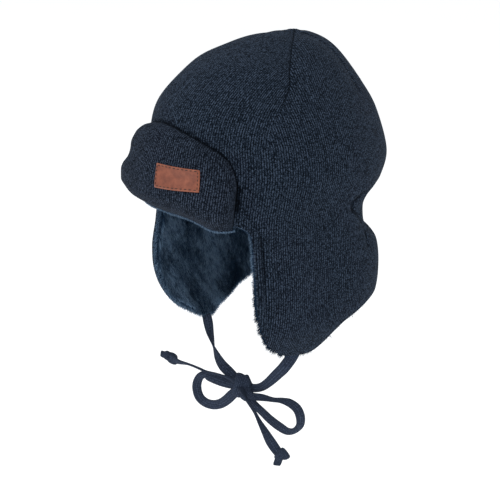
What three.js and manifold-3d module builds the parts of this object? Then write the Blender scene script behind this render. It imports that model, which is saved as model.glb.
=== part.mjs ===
// Knitted aviator hat with ear flaps, a padded turned-up brim and ties.
// Millimetres, +Z up. The wearer faces -Y and the wearer's left is +X.
// The origin is the middle of the head opening, level with the front rim.

import * as THREE from 'three';
import { mergeVertices } from 'three/addons/utils/BufferGeometryUtils.js';
import Module from 'manifold-3d';

const { Manifold, Mesh } = await initManifold();

// Head opening and overall form
const HEAD_LENGTH = 192;
const HEAD_WIDTH = 166;
const CROWN_HEIGHT = 143.5;
const FLAP_DROP = 122;
const FRONT_RISE = 4;

// Cloth
const KNIT_WALL = 2;
const PLUSH_DEPTH = 6;
const PLUSH_REVEAL = 1.5;
const CLEARANCE = 0.3;
const LINING_TOP = KNIT_WALL + CLEARANCE;

// Four darts that shape the crown, closed by seams that run down from the top
const DART_DEPTH = 2;
const DART_WIDTH = 9;

// Nape, drawn in by a short elastic
const NAPE_DEPTH = 18;
const NAPE_HALF_HEIGHT = 18;
const NAPE_DROP = 8;
const NAPE_FROM_ANGLE = 112;
const NAPE_FULL_ANGLE = 152;

// Padded brim, turned up against the front of the crown
const BRIM_HEIGHT = 73;
const BRIM_BULGE = 23;
const BRIM_HALF_ANGLE = 45.5;
const BRIM_PINCH = 8;
const BRIM_SEAT = 0.6;

// Leather patch on the brim, at the wearer's left of the middle
const PATCH_LENGTH = 38;
const PATCH_HEIGHT = 18.5;
const PATCH_TILT = 2.2;
const PATCH_THICKNESS = 1.4;
const PATCH_ANGLE = 20.8;
const PATCH_LEVEL = 39.2;

// Ties
const TIE_WIDTH = 8;
const TIE_THICKNESS = 6;
const STRAP_RIGHT_ANGLE = 82;
const STRAP_LEFT_ANGLE = 86;
const BOW_KNOT_SIZE = new THREE.Vector3(23, 18, 22);
const END_KNOT_SIZE = new THREE.Vector3(15, 12, 15);

// Number of columns and rows in the cloth's faces
const COLUMNS = 48;
const CROWN_ROWS = 8;
const SIDE_ROWS = 12;
const ROWS = CROWN_ROWS + SIDE_ROWS;

// Level sections of the hat. Height is a share of the crown's height above the
// rim and of the flaps' drop below it. Front and back are shares of half the
// head's length, side is a share of half its width, and square is the power of
// the oval, 2 for an ellipse and more for a boxier section.
const SECTIONS = [
  { height: 1.0, front: -0.48, back: 0.48, side: 0.0, square: 2.0 },
  { height: 0.979, front: -0.13, back: 0.63, side: 0.25, square: 2.0 },
  { height: 0.924, front: 0.19, back: 0.79, side: 0.455, square: 2.0 },
  { height: 0.834, front: 0.5, back: 0.92, side: 0.675, square: 2.0 },
  { height: 0.676, front: 0.77, back: 1.09, side: 0.872, square: 2.0 },
  { height: 0.524, front: 0.885, back: 1.22, side: 1.0, square: 2.0 },
  { height: 0.283, front: 0.92, back: 1.335, side: 1.06, square: 2.0 },
  { height: 0.131, front: 0.91, back: 1.24, side: 1.04, square: 2.2 },
  { height: 0.0, front: 0.9, back: 1.14, side: 1.01, square: 2.4 },
  { height: -0.205, front: 0.9, back: 1.11, side: 1.02, square: 2.7 },
  { height: -0.41, front: 0.9, back: 1.1, side: 1.06, square: 3.0 },
  { height: -0.615, front: 0.89, back: 1.09, side: 1.06, square: 2.9 },
  { height: -0.795, front: 0.875, back: 1.06, side: 1.01, square: 2.5 },
  { height: -1.0, front: 0.83, back: 1.0, side: 0.82, square: 2.2 },
];

// Lower edge of the cloth, from the front round one side to the back. Around
// is an angle in degrees, drop a share of the flaps' drop and rise a share of
// how far the front edge stands above the opening's level.
const EDGE = [
  { around: 0, drop: 0.0, rise: 1.0 },
  { around: 20, drop: 0.0, rise: 0.9 },
  { around: 38, drop: 0.0, rise: 0.5 },
  { around: 50, drop: 0.01, rise: 0.0 },
  { around: 55, drop: 0.08, rise: 0.0 },
  { around: 56, drop: 0.25, rise: 0.0 },
  { around: 56.1, drop: 0.45, rise: 0.0 },
  { around: 56.3, drop: 0.56, rise: 0.0 },
  { around: 57.3, drop: 0.65, rise: 0.0 },
  { around: 59.2, drop: 0.735, rise: 0.0 },
  { around: 62, drop: 0.82, rise: 0.0 },
  { around: 66, drop: 0.89, rise: 0.0 },
  { around: 71.5, drop: 0.945, rise: 0.0 },
  { around: 78, drop: 0.985, rise: 0.0 },
  { around: 85, drop: 1.0, rise: 0.0 },
  { around: 92, drop: 0.998, rise: 0.0 },
  { around: 96.5, drop: 0.98, rise: 0.0 },
  { around: 99.5, drop: 0.94, rise: 0.0 },
  { around: 102.3, drop: 0.885, rise: 0.0 },
  { around: 105, drop: 0.83, rise: 0.0 },
  { around: 109.5, drop: 0.775, rise: 0.0 },
  { around: 117, drop: 0.728, rise: 0.0 },
  { around: 125, drop: 0.685, rise: 0.0 },
  { around: 134, drop: 0.65, rise: 0.0 },
  { around: 145, drop: 0.625, rise: 0.0 },
  { around: 162, drop: 0.605, rise: 0.0 },
  { around: 180, drop: 0.6, rise: 0.0 },
];

// Darts of one side of the crown, by height. Front and back are the angles, in
// degrees from the front, at which the two darts lie.
const DARTS = [
  { height: 0.35, front: 58, back: 129 },
  { height: 0.5, front: 61.5, back: 131 },
  { height: 0.58, front: 65, back: 131 },
  { height: 0.68, front: 71, back: 132 },
  { height: 0.76, front: 75, back: 134 },
  { height: 1.0, front: 75, back: 137 },
];

// Side of the crown where the rows stop being level and start to fan out
const LEVEL_HEIGHT = 0.43;

// Brim from its middle to one end. Around is a share of its half angle, top of
// its height and bulge of its fullness.
const BRIM_STATIONS = [
  { around: 0.0, top: 1.0, bulge: 1.0 },
  { around: 0.2, top: 0.985, bulge: 1.0 },
  { around: 0.4, top: 0.94, bulge: 1.0 },
  { around: 0.62, top: 0.87, bulge: 0.98 },
  { around: 0.8, top: 0.79, bulge: 0.9 },
  { around: 0.91, top: 0.7, bulge: 0.78 },
  { around: 0.97, top: 0.58, bulge: 0.64 },
  { around: 1.0, top: 0.42, bulge: 0.5 },
];

// Upright section of the brim. Up is a share of its top and out of its bulge.
const BRIM_PROFILE = [
  { up: 0.0, out: 0.06 },
  { up: 0.06, out: 0.32 },
  { up: 0.15, out: 0.72 },
  { up: 0.27, out: 0.97 },
  { up: 0.42, out: 0.98 },
  { up: 0.57, out: 0.86 },
  { up: 0.7, out: 0.74 },
  { up: 0.82, out: 0.62 },
  { up: 0.92, out: 0.48 },
  { up: 0.98, out: 0.27 },
  { up: 1.0, out: 0.05 },
];

// Routes of the ties, chosen by eye
const BOW_KNOT_PLACE = new THREE.Vector3(0.5, -8.5, -168.5);
const END_KNOT_RIGHT_PLACE = new THREE.Vector3(-83, -31.5, -161);
const END_KNOT_LEFT_PLACE = new THREE.Vector3(53, -4.5, -217);

const STRAP_RIGHT_ROUTE = [
  [-56, -4.5, -136.5],
  [-49.5, -6, -144.5],
  [-41, -8, -151.5],
  [-30.5, -9, -157.5],
  [-24, -6, -163],
  [-16.5, -4.5, -167],
  [-5.5, -6, -168],
];

const STRAP_LEFT_ROUTE = [
  [55, -3, -136],
  [46, -4, -145],
  [33.5, -4, -156],
  [20.5, -3, -164.5],
  [9, -3.5, -168.5],
  [1.5, -5, -168],
];

const LOOP_RIGHT_ROUTE = [
  [-3, -9.5, -168],
  [-12.5, -11.5, -170],
  [-23.5, -14.5, -170],
  [-34, -18, -169],
  [-43.5, -20.5, -168.5],
  [-51, -21, -174.5],
  [-54, -21, -183.5],
  [-51.5, -20, -192],
  [-44, -18.5, -195.5],
  [-35, -16, -195.5],
  [-26, -14, -192],
  [-17, -13, -185.5],
  [-10, -12.5, -179],
  [-4.5, -10.5, -173],
];

const LOOP_LEFT_ROUTE = [
  [3.5, -8.5, -170],
  [15, -8.5, -173],
  [25, -4.5, -172.5],
  [35, -1, -172],
  [44.5, 2.5, -170.5],
  [53.5, 4.5, -170.5],
  [62, 6, -173.5],
  [67.5, 5.5, -179],
  [66.5, 6, -187],
  [60.5, 5, -193.5],
  [53.5, 2.5, -196],
  [43.5, 0.5, -194.5],
  [32.5, -1.5, -191],
  [22, -3, -186.5],
  [13, -5, -182],
  [5.5, -8, -175],
];

const TAIL_RIGHT_ROUTE = [
  [-3, -13, -164.5],
  [-11.5, -17, -162],
  [-23, -20.5, -161.5],
  [-33.5, -24.5, -161.5],
  [-45, -26, -161],
  [-57, -28.5, -160.5],
  [-68.5, -31, -161],
  [-83, -32.5, -160.5],
];

const TAIL_LEFT_ROUTE = [
  [4, -12.5, -168.5],
  [15, -17.5, -169.5],
  [23, -17.5, -175],
  [28.5, -15, -182.5],
  [33, -13, -190.5],
  [37.5, -10.5, -198.5],
  [42, -8, -206.5],
  [47.5, -5.5, -213.5],
  [52, -4.5, -217],
];

const TIE_SIDES = 8;
const TIE_STEP = 9;

async function initManifold() {
  const module = await Module();
  module.setup();
  return module;
}

// Value between rows of a table, on a smooth curve through them. The place is
// counted in rows.
function smoothValue(table, key, place) {
  const last = table.length - 1;
  const index = Math.min(Math.max(Math.floor(place), 0), last - 1);
  const t = place - index;
  const before = table[Math.max(index - 1, 0)][key];
  const start = table[index][key];
  const end = table[index + 1][key];
  const after = table[Math.min(index + 2, last)][key];
  const slope = (end - before) / 2;
  const bend = before - 2.5 * start + 2 * end - after / 2;
  const twist = (after - before + 3 * (start - end)) / 2;
  return start + t * (slope + t * (bend + t * twist));
}

// Value between rows of a table, on straight lines, looked up by another column
function tableValue(table, key, by, value) {
  const found = table.findIndex((row) => row[by] >= value);
  const index = found < 0 ? table.length - 1 : Math.max(found, 1);
  const low = table[index - 1];
  const high = table[index];
  const share = THREE.MathUtils.clamp((value - low[by]) / (high[by] - low[by]), 0, 1);
  return THREE.MathUtils.lerp(low[key], high[key], share);
}

// Height of a section in millimetres from its share
function heightOf(share) {
  return share * (share > 0 ? CROWN_HEIGHT : FLAP_DROP);
}

// Place in the table of sections that lies at a height, by halving
function placeOfHeight(height) {
  let low = 0;
  let high = SECTIONS.length - 1;
  for (let pass = 0; pass < 30; pass++) {
    const middle = (low + high) / 2;
    if (heightOf(smoothValue(SECTIONS, 'height', middle)) > height) {
      low = middle;
    } else {
      high = middle;
    }
  }
  return (low + high) / 2;
}

// Point on the smooth form, before darts and nape, at an angle round the head
// and a place in the sections
function formPoint(angle, place) {
  const turn = THREE.MathUtils.degToRad(angle);
  const sine = Math.sin(turn);
  const cosine = Math.cos(turn);
  const front = smoothValue(SECTIONS, 'front', place) * HEAD_LENGTH / 2;
  const back = smoothValue(SECTIONS, 'back', place) * HEAD_LENGTH / 2;
  const side = smoothValue(SECTIONS, 'side', place) * HEAD_WIDTH / 2;
  const square = smoothValue(SECTIONS, 'square', place);
  const power = Math.abs(sine) ** square + Math.abs(cosine) ** square;
  const scale = power ** (-1 / square);
  return new THREE.Vector3(
    side * sine * scale,
    (back - front) / 2 - (back + front) / 2 * cosine * scale,
    heightOf(smoothValue(SECTIONS, 'height', place)),
  );
}

// How far the darts and the nape's elastic draw the cloth in
function drawnIn(angle, place) {
  const turn = THREE.MathUtils.euclideanModulo(angle, 360);
  const height = heightOf(smoothValue(SECTIONS, 'height', place));
  const side = smoothValue(SECTIONS, 'side', place) * HEAD_WIDTH / 2;
  const { degToRad, smoothstep } = THREE.MathUtils;
  const reach = smoothstep(height, 0.35 * CROWN_HEIGHT, 0.9 * CROWN_HEIGHT);
  const topFade = smoothstep(side, 0, 2 * DART_WIDTH);
  const fromFront = Math.min(turn, 360 - turn);
  let depth = 0;
  for (const dart of ['front', 'back']) {
    const dartAngle = tableValue(DARTS, dart, 'height', height / CROWN_HEIGHT);
    const away = degToRad(fromFront - dartAngle) * side / DART_WIDTH;
    depth += DART_DEPTH * reach * topFade * Math.exp(-(away ** 2));
  }
  const backward = smoothstep(fromFront, NAPE_FROM_ANGLE, NAPE_FULL_ANGLE);
  const level = (height + NAPE_DROP) / NAPE_HALF_HEIGHT;
  return depth + NAPE_DEPTH * backward * Math.exp(-(Math.abs(level) ** 3));
}

// Point on the knit's outer face
function clothPoint(angle, place) {
  const outward = normalOf(formPoint, angle, place, 0.5, -0.02);
  return formPoint(angle, place).addScaledVector(outward, -drawnIn(angle, place));
}

const edgeCurve = new THREE.SplineCurve(
  EDGE.map((row) => new THREE.Vector2(
    THREE.MathUtils.degToRad(row.around) * HEAD_WIDTH / 2,
    row.rise * FRONT_RISE - row.drop * FLAP_DROP,
  )),
);
edgeCurve.arcLengthDivisions = 400;

// Angle round the head and place in the sections of a point on the knit, by
// column, 0 to 1 round the hat from the front, and row, from the top of the
// crown to the lower edge
function knitPlace(column, row) {
  const turn = THREE.MathUtils.euclideanModulo(column, 1);
  const side = turn <= 0.5 ? 1 : -1;
  const share = turn <= 0.5 ? 2 * turn : 2 - 2 * turn;
  const edge = edgeCurve.getPointAt(share);
  const edgeAngle = THREE.MathUtils.radToDeg(edge.x / (HEAD_WIDTH / 2));
  const topAngle = 0.55 * 180 * share + 0.45 * edgeAngle;
  const levelHeight = LEVEL_HEIGHT * CROWN_HEIGHT;
  if (row <= CROWN_ROWS) {
    return [side * topAngle, placeOfHeight(levelHeight) * row / CROWN_ROWS];
  }
  const down = (row - CROWN_ROWS) / SIDE_ROWS;
  const angle = THREE.MathUtils.lerp(topAngle, edgeAngle, down);
  const height = THREE.MathUtils.lerp(levelHeight, edge.y, down);
  return [side * angle, placeOfHeight(height)];
}

// Outward normal of a surface given by a function of an angle and of a value
// that grows upward, or downward where its step is negative
function normalOf(surface, u, v, stepU, stepV) {
  const alongU = surface(u + stepU, v).sub(surface(u - stepU, v));
  const alongV = surface(u, v + stepV).sub(surface(u, v - stepV));
  return alongU.cross(alongV).normalize();
}

// Point at a depth under the knit's outer face, past the lower edge by reveal
function insidePoint(column, row, depth, reveal) {
  const [angle, place] = knitPlace(column, row);
  const outward = row === 0
    ? new THREE.Vector3(0, 0, 1)
    : normalOf(clothPoint, angle, place, 0.5, -0.02);
  const point = clothPoint(angle, place).addScaledVector(outward, -depth);
  if (row === ROWS) {
    const before = clothPoint(...knitPlace(column - 0.002, row));
    const after = clothPoint(...knitPlace(column + 0.002, row));
    const pastEdge = after.sub(before).cross(outward).normalize();
    point.addScaledVector(pastEdge, reveal);
  }
  return point;
}

// Closed solid through rings of points, each end closed by a fan round a point.
// The rings of a layer's inner face come back over its outer face's, so their
// faces are split along the same diagonals.
function solidThroughRings(rings, startPoint, endPoint) {
  const count = rings[0].length;
  const points = [...rings.flat(), startPoint, endPoint];
  const startIndex = points.length - 2;
  const endIndex = points.length - 1;
  const faces = [];
  for (let side = 0; side < count; side++) {
    const next = (side + 1) % count;
    for (let ring = 0; ring < rings.length - 1; ring++) {
      const here = ring * count;
      const there = here + count;
      const [a, b, c, d] = [here + side, there + side, there + next, here + next];
      const returning = ring >= rings.length / 2;
      faces.push(...(returning ? [b, c, d, b, d, a] : [a, b, c, a, c, d]));
    }
    const lastRing = (rings.length - 1) * count;
    faces.push(startIndex, side, next);
    faces.push(endIndex, lastRing + next, lastRing + side);
  }
  const geometry = new THREE.BufferGeometry().setFromPoints(points);
  geometry.setIndex(faces);
  geometry.computeVertexNormals();
  return geometry;
}

// Middle of a ring of points
function middleOf(ring) {
  const sum = ring.reduce((total, point) => total.add(point), new THREE.Vector3());
  return sum.divideScalar(ring.length);
}

// Layer of cloth between two depths under the knit's outer face. Its lip
// stands past the knit's lower edge by reveal.
function clothLayer(outerDepth, innerDepth, reveal) {
  const ringAt = (row, depth, lip) => Array.from(
    { length: COLUMNS },
    (_, column) => insidePoint(column / COLUMNS, row, depth, lip),
  );
  const rows = Array.from({ length: ROWS }, (_, index) => index + 1);
  const outer = rows.map((row) => ringAt(row, outerDepth, 0));
  const inner = rows.map((row) => ringAt(row, innerDepth, reveal)).reverse();
  const lip = reveal > 0 ? [ringAt(ROWS, outerDepth + reveal, reveal)] : [];
  return solidThroughRings(
    [...outer, ...lip, ...inner],
    insidePoint(0, 0, outerDepth, 0),
    insidePoint(0, 0, innerDepth, 0),
  );
}

// Point on the crown's front at an angle and a height, moved out by a distance
function frontPoint(angle, height, out) {
  const surface = (turn, level) => clothPoint(turn, placeOfHeight(level));
  const outward = normalOf(surface, angle, height, 0.5, 0.5);
  return surface(angle, height).addScaledVector(outward, out);
}

// Foot, height and fullness of the brim at an angle from the front's middle
function brimAt(angle) {
  const around = Math.abs(angle) / BRIM_HALF_ANGLE;
  return {
    foot: FRONT_RISE * tableValue(EDGE, 'rise', 'around', Math.abs(angle)),
    height: BRIM_HEIGHT * tableValue(BRIM_STATIONS, 'top', 'around', around),
    bulge: BRIM_BULGE * tableValue(BRIM_STATIONS, 'bulge', 'around', around),
  };
}

// Point on the brim's outer face. The far end, on the wearer's right, is
// pinched in under its top edge.
function brimPoint(angle, up) {
  const { foot, height, bulge } = brimAt(angle);
  const pinch = THREE.MathUtils.smoothstep(-angle, 15, 35) * BRIM_PINCH;
  const nip = pinch * Math.exp(-(((up - 0.63) / 0.09) ** 2));
  const out = bulge * tableValue(BRIM_PROFILE, 'out', 'up', up) - nip;
  return frontPoint(angle, foot + up * height, BRIM_SEAT + out);
}

function brimGeometry() {
  const half = BRIM_STATIONS.map((row) => row.around * BRIM_HALF_ANGLE);
  const angles = [];
  for (let index = 0; index < half.length - 1; index++) {
    const steps = Math.max(1, Math.round((half[index + 1] - half[index]) / 4.5));
    for (let step = 0; step < steps; step++) {
      angles.push(THREE.MathUtils.lerp(half[index], half[index + 1], step / steps));
    }
  }
  angles.push(BRIM_HALF_ANGLE);
  const allAngles = [...angles.slice(1).reverse().map((angle) => -angle), ...angles];
  const backUps = [1, 0.8, 0.6, 0.4, 0.2, 0];
  const backPoint = (angle, up) => {
    const { foot, height } = brimAt(angle);
    return frontPoint(angle, foot + up * height, BRIM_SEAT);
  };
  const rings = allAngles.map((angle) => [
    ...BRIM_PROFILE.map((row) => brimPoint(angle, row.up)),
    ...backUps.map((up) => backPoint(angle, up)),
  ]);
  return solidThroughRings(rings, middleOf(rings[0]), middleOf(rings.at(-1)));
}

function patchGeometry() {
  const along = 10;
  const levels = [-0.5, -0.17, 0.17, 0.5];
  const surface = (turn, level) => {
    const { foot, height } = brimAt(turn);
    return brimPoint(turn, (level - foot) / height);
  };
  const upward = surface(PATCH_ANGLE, PATCH_LEVEL + 1).sub(surface(PATCH_ANGLE, PATCH_LEVEL - 1));
  const slant = upward.z / upward.length();
  const radius = Math.hypot(...surface(PATCH_ANGLE, PATCH_LEVEL).toArray().slice(0, 2));
  const halfTurn = THREE.MathUtils.radToDeg(PATCH_LENGTH / 2 / radius);
  const pointAt = (share, level, lift) => {
    const angle = PATCH_ANGLE + halfTurn * share;
    const height = PATCH_LEVEL + slant * level * PATCH_HEIGHT - PATCH_TILT * share / 2;
    const outward = normalOf(surface, angle, height, 0.5, 2);
    return surface(angle, height).addScaledVector(outward, lift);
  };
  const rings = Array.from({ length: along + 1 }, (_, index) => {
    const share = 2 * index / along - 1;
    const face = levels.map((level) => pointAt(share, level, 2 * CLEARANCE + PATCH_THICKNESS));
    const back = levels.map((level) => pointAt(share, level, 2 * CLEARANCE)).reverse();
    return [...face, ...back];
  });
  return solidThroughRings(rings, middleOf(rings[0]), middleOf(rings.at(-1)));
}

// Solid of a geometry, for cutting one piece where it meets another
function toSolid(geometry) {
  const bare = new THREE.BufferGeometry();
  bare.setAttribute('position', geometry.getAttribute('position'));
  bare.setIndex(geometry.getIndex());
  const merged = mergeVertices(bare, 1e-4);
  const mesh = new Mesh({
    numProp: 3,
    vertProperties: new Float32Array(merged.getAttribute('position').array),
    triVerts: new Uint32Array(merged.getIndex().array),
  });
  mesh.merge();
  return new Manifold(mesh);
}

function fromSolid(solid) {
  const mesh = solid.getMesh();
  const geometry = new THREE.BufferGeometry();
  geometry.setAttribute('position', new THREE.BufferAttribute(mesh.vertProperties, 3));
  geometry.setIndex(new THREE.BufferAttribute(mesh.triVerts, 1));
  return geometry;
}

// Rounded lump of a pulled-tight knot, grown by a clearance on every side
function knotGeometry(size, place, grown) {
  const geometry = new THREE.SphereGeometry(0.5, 12, 8);
  geometry.rotateX(Math.PI / 2);
  geometry.scale(size.x + 2 * grown, size.y + 2 * grown, size.z + 2 * grown);
  geometry.translate(place.x, place.y, place.z);
  return geometry;
}

// Soft jersey tie along a route, cut off where it goes into a knot
function tieGeometry(route, knots) {
  const points = route.map(([x, y, z]) => new THREE.Vector3(x, y, z));
  const path = new THREE.CatmullRomCurve3(points);
  const corners = Array.from({ length: TIE_SIDES }, (_, side) => {
    const turn = 2 * Math.PI * (side + 0.5) / TIE_SIDES;
    const x = TIE_THICKNESS / 2 * Math.cos(turn);
    const y = TIE_WIDTH / 2 * Math.sin(turn);
    return new THREE.Vector2(x, y);
  });
  const steps = Math.max(6, Math.round(path.getLength() / TIE_STEP));
  const tube = new THREE.ExtrudeGeometry(new THREE.Shape(corners), {
    steps,
    extrudePath: path,
    curveSegments: 1,
  });
  const solid = knots.reduce((rest, { size, place }) => (
    rest.subtract(toSolid(knotGeometry(size, place, CLEARANCE)))
  ), toSolid(tube));
  return fromSolid(solid.asOriginal().simplify(0.01));
}

// First points of a tie: under a flap's edge at an angle from the front, in the
// middle of the plush, and on in line with the cloth. Side is 1 on the wearer's
// left and -1 on the right.
function strapStart(angle, side) {
  const depth = LINING_TOP + PLUSH_DEPTH / 2;
  const columns = Array.from({ length: COLUMNS / 2 }, (_, index) => index / COLUMNS);
  const before = columns.findLast((column) => knitPlace(column, ROWS)[0] <= angle);
  const after = before + 1 / COLUMNS;
  const [low, high] = [before, after].map((column) => knitPlace(column, ROWS)[0]);
  const share = (angle - low) / (high - low);
  return [2 * CLEARANCE, TIE_WIDTH].map((past) => {
    const [start, end] = [before, after].map((column) => (
      insidePoint(column, ROWS, depth, PLUSH_REVEAL + past)
    ));
    const { x, y, z } = start.lerp(end, share);
    return [side * x, y, z];
  });
}

const cloth = { roughness: 0.95, metalness: 0 };
const knitMaterial = new THREE.MeshStandardMaterial({ color: 0x262f3a, ...cloth });
const brimMaterial = new THREE.MeshStandardMaterial({ color: 0x29323e, ...cloth });
const plushMaterial = new THREE.MeshStandardMaterial({ color: 0x2c3b4a, ...cloth });
const tieMaterial = new THREE.MeshStandardMaterial({ color: 0x2f3746, ...cloth });
const leatherMaterial = new THREE.MeshStandardMaterial({
  color: 0x8f5a46,
  roughness: 0.7,
  metalness: 0,
});

const bowKnot = { size: BOW_KNOT_SIZE, place: BOW_KNOT_PLACE };
const endKnotRight = { size: END_KNOT_SIZE, place: END_KNOT_RIGHT_PLACE };
const endKnotLeft = { size: END_KNOT_SIZE, place: END_KNOT_LEFT_PLACE };

const strapRightRoute = [...strapStart(STRAP_RIGHT_ANGLE, -1), ...STRAP_RIGHT_ROUTE];
const strapLeftRoute = [...strapStart(STRAP_LEFT_ANGLE, 1), ...STRAP_LEFT_ROUTE];

const pieces = {
  outer_shell: [clothLayer(0, KNIT_WALL, 0), knitMaterial],
  lining: [clothLayer(LINING_TOP, LINING_TOP + PLUSH_DEPTH, PLUSH_REVEAL), plushMaterial],
  brim: [brimGeometry(), brimMaterial],
  leather_patch: [patchGeometry(), leatherMaterial],
  strap_right: [tieGeometry(strapRightRoute, [bowKnot]), tieMaterial],
  strap_left: [tieGeometry(strapLeftRoute, [bowKnot]), tieMaterial],
  loop_right: [tieGeometry(LOOP_RIGHT_ROUTE, [bowKnot]), tieMaterial],
  loop_left: [tieGeometry(LOOP_LEFT_ROUTE, [bowKnot]), tieMaterial],
  tail_right: [tieGeometry(TAIL_RIGHT_ROUTE, [bowKnot, endKnotRight]), tieMaterial],
  tail_left: [tieGeometry(TAIL_LEFT_ROUTE, [bowKnot, endKnotLeft]), tieMaterial],
  bow_knot: [knotGeometry(BOW_KNOT_SIZE, BOW_KNOT_PLACE, 0), tieMaterial],
  end_knot_right: [knotGeometry(END_KNOT_SIZE, END_KNOT_RIGHT_PLACE, 0), tieMaterial],
  end_knot_left: [knotGeometry(END_KNOT_SIZE, END_KNOT_LEFT_PLACE, 0), tieMaterial],
};

const hat = new THREE.Group();
hat.name = 'knitted_aviator_hat';
for (const [name, [geometry, material]] of Object.entries(pieces)) {
  const mesh = new THREE.Mesh(geometry, material);
  mesh.name = name;
  hat.add(mesh);
}

export default hat;
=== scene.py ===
# Knitted aviator hat in its worn form, held up as a head holds it.
#
# A child's winter hat: a navy melange knit shell darted into a rounded crown, with
# ear flaps and a neck flap in one piece, a plush lining, a padded brim turned up
# against the front with a bare leather patch on it, and jersey ties in a bow.
# Metres, +Z up. The wearer faces -Y and the wearer's left is +X.

import math

import bpy
import numpy as np
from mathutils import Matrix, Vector


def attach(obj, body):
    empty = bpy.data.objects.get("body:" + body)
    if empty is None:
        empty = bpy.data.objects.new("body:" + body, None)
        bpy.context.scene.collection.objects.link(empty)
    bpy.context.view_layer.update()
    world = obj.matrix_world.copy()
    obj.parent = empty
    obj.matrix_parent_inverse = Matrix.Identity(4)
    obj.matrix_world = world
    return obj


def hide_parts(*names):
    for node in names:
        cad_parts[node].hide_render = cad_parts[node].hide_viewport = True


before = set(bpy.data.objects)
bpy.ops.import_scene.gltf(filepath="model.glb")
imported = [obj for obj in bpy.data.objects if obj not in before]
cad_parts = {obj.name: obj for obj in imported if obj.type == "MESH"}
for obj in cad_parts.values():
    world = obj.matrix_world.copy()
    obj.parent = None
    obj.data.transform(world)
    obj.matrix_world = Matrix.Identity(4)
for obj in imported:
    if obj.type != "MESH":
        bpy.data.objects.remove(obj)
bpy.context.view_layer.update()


# Studio
# The photograph was taken with a long lens from the wearer's front left, a little
# above the rim, on white. Two large soft boxes and a pale surround light it.

AIM = Vector((0, 0, -0.045))
AZIMUTH = math.radians(55)
ELEVATION = math.radians(16)
DISTANCE = 1.5
FOCAL_LENGTH_MM = 124.74
FLOOR_LEVEL = -0.36


def direction(azimuth, elevation):
    """Unit vector from the hat towards a place round it: (sin a cos e, -cos a cos e, sin e)."""
    flat = math.cos(elevation)
    return Vector((math.sin(azimuth) * flat, -math.cos(azimuth) * flat, math.sin(elevation)))


camera_data = bpy.data.cameras.new("studio_camera")
camera_data.lens = FOCAL_LENGTH_MM
camera_data.sensor_width = 36
camera = bpy.data.objects.new("studio_camera", camera_data)
camera.location = AIM + DISTANCE * direction(AZIMUTH, ELEVATION)
camera.rotation_euler = (AIM - camera.location).to_track_quat("-Z", "Y").to_euler()
bpy.context.scene.collection.objects.link(camera)
bpy.context.scene.camera = camera
bpy.context.scene.view_settings.view_transform = "Standard"


def linear(code):
    """Linear red, green, blue and alpha of an sRGB code such as "#29323e"."""
    channels = np.array([int(code[at:at + 2], 16) for at in (1, 3, 5)]) / 255
    bright = ((channels + 0.055) / 1.055) ** 2.4
    return (*np.where(channels > 0.04045, bright, channels / 12.92).tolist(), 1)


def soft_box(name, azimuth, elevation, distance, size, power):
    """Square area light of a size and power, aimed at the hat."""
    light = bpy.data.lights.new(name, "AREA")
    light.shape = "SQUARE"
    light.size = size
    light.energy = power
    holder = bpy.data.objects.new(name, light)
    towards = direction(math.radians(azimuth), math.radians(elevation))
    holder.location = AIM + distance * towards
    holder.rotation_euler = (-towards).to_track_quat("-Z", "Y").to_euler()
    bpy.context.scene.collection.objects.link(holder)


soft_box("key_box", 5, 50, 1.8, 1.3, 15)
soft_box("fill_box", 105, 20, 2.2, 1.6, 4)

surround = bpy.data.worlds.new("pale_surround")
surround.use_nodes = True
surround.node_tree.nodes["Background"].inputs["Color"].default_value = linear("#f4f6f8")
surround.node_tree.nodes["Background"].inputs["Strength"].default_value = 0.72
bpy.context.scene.world = surround


def node(material, kind, *inputs, output=0, stops=(), **settings):
    """Adds a node to a material and gives one of its outputs.

    Inputs come in order or by name, each a value or another node's output. A kind such
    as Math:SINE has its operation after the colon. Stops are the places and the sRGB
    codes of a colour ramp.
    """
    kind, _, operation = kind.partition(":")
    made = material.node_tree.nodes.new("ShaderNode" + kind)
    if operation:
        made.operation = operation
    linked = dict(enumerate(inputs))
    for name, value in settings.items():
        if name in made.inputs:
            linked[name] = value
        else:
            setattr(made, name, value)
    for key, value in linked.items():
        if isinstance(value, bpy.types.NodeSocket):
            material.node_tree.links.new(value, made.inputs[key])
        else:
            made.inputs[key].default_value = value
    for _ in stops[2:]:
        made.color_ramp.elements.new(0.5)
    for at, (place, code) in enumerate(stops):
        made.color_ramp.elements[at].position = place
        made.color_ramp.elements[at].color = linear(code)
    return made.outputs[output]


def surface(name, color, roughness, sheen=0.0, sheen_tint="#ffffff", gloss=0.5, ior=1.45):
    """Material with what is the same all over its surface."""
    material = bpy.data.materials.new(name)
    material.use_nodes = True
    shader = material.node_tree.nodes["Principled BSDF"]
    shader.inputs["Base Color"].default_value = linear(color)
    shader.inputs["Roughness"].default_value = roughness
    shader.inputs["IOR"].default_value = ior
    shader.inputs["Sheen Weight"].default_value = sheen
    shader.inputs["Sheen Roughness"].default_value = 0.5
    shader.inputs["Sheen Tint"].default_value = linear(sheen_tint)
    shader.inputs["Specular IOR Level"].default_value = gloss
    return material


def finish(material, tone, height=None, strength=0.0, distance=0.0):
    """Gives a material its tone, and the relief of a height pattern, distance in metres."""
    shader = material.node_tree.nodes["Principled BSDF"]
    material.node_tree.links.new(tone, shader.inputs["Base Color"])
    if height:
        relief = node(material, "Bump", Height=height, Strength=strength, Distance=distance)
        material.node_tree.links.new(relief, shader.inputs["Normal"])


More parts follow.
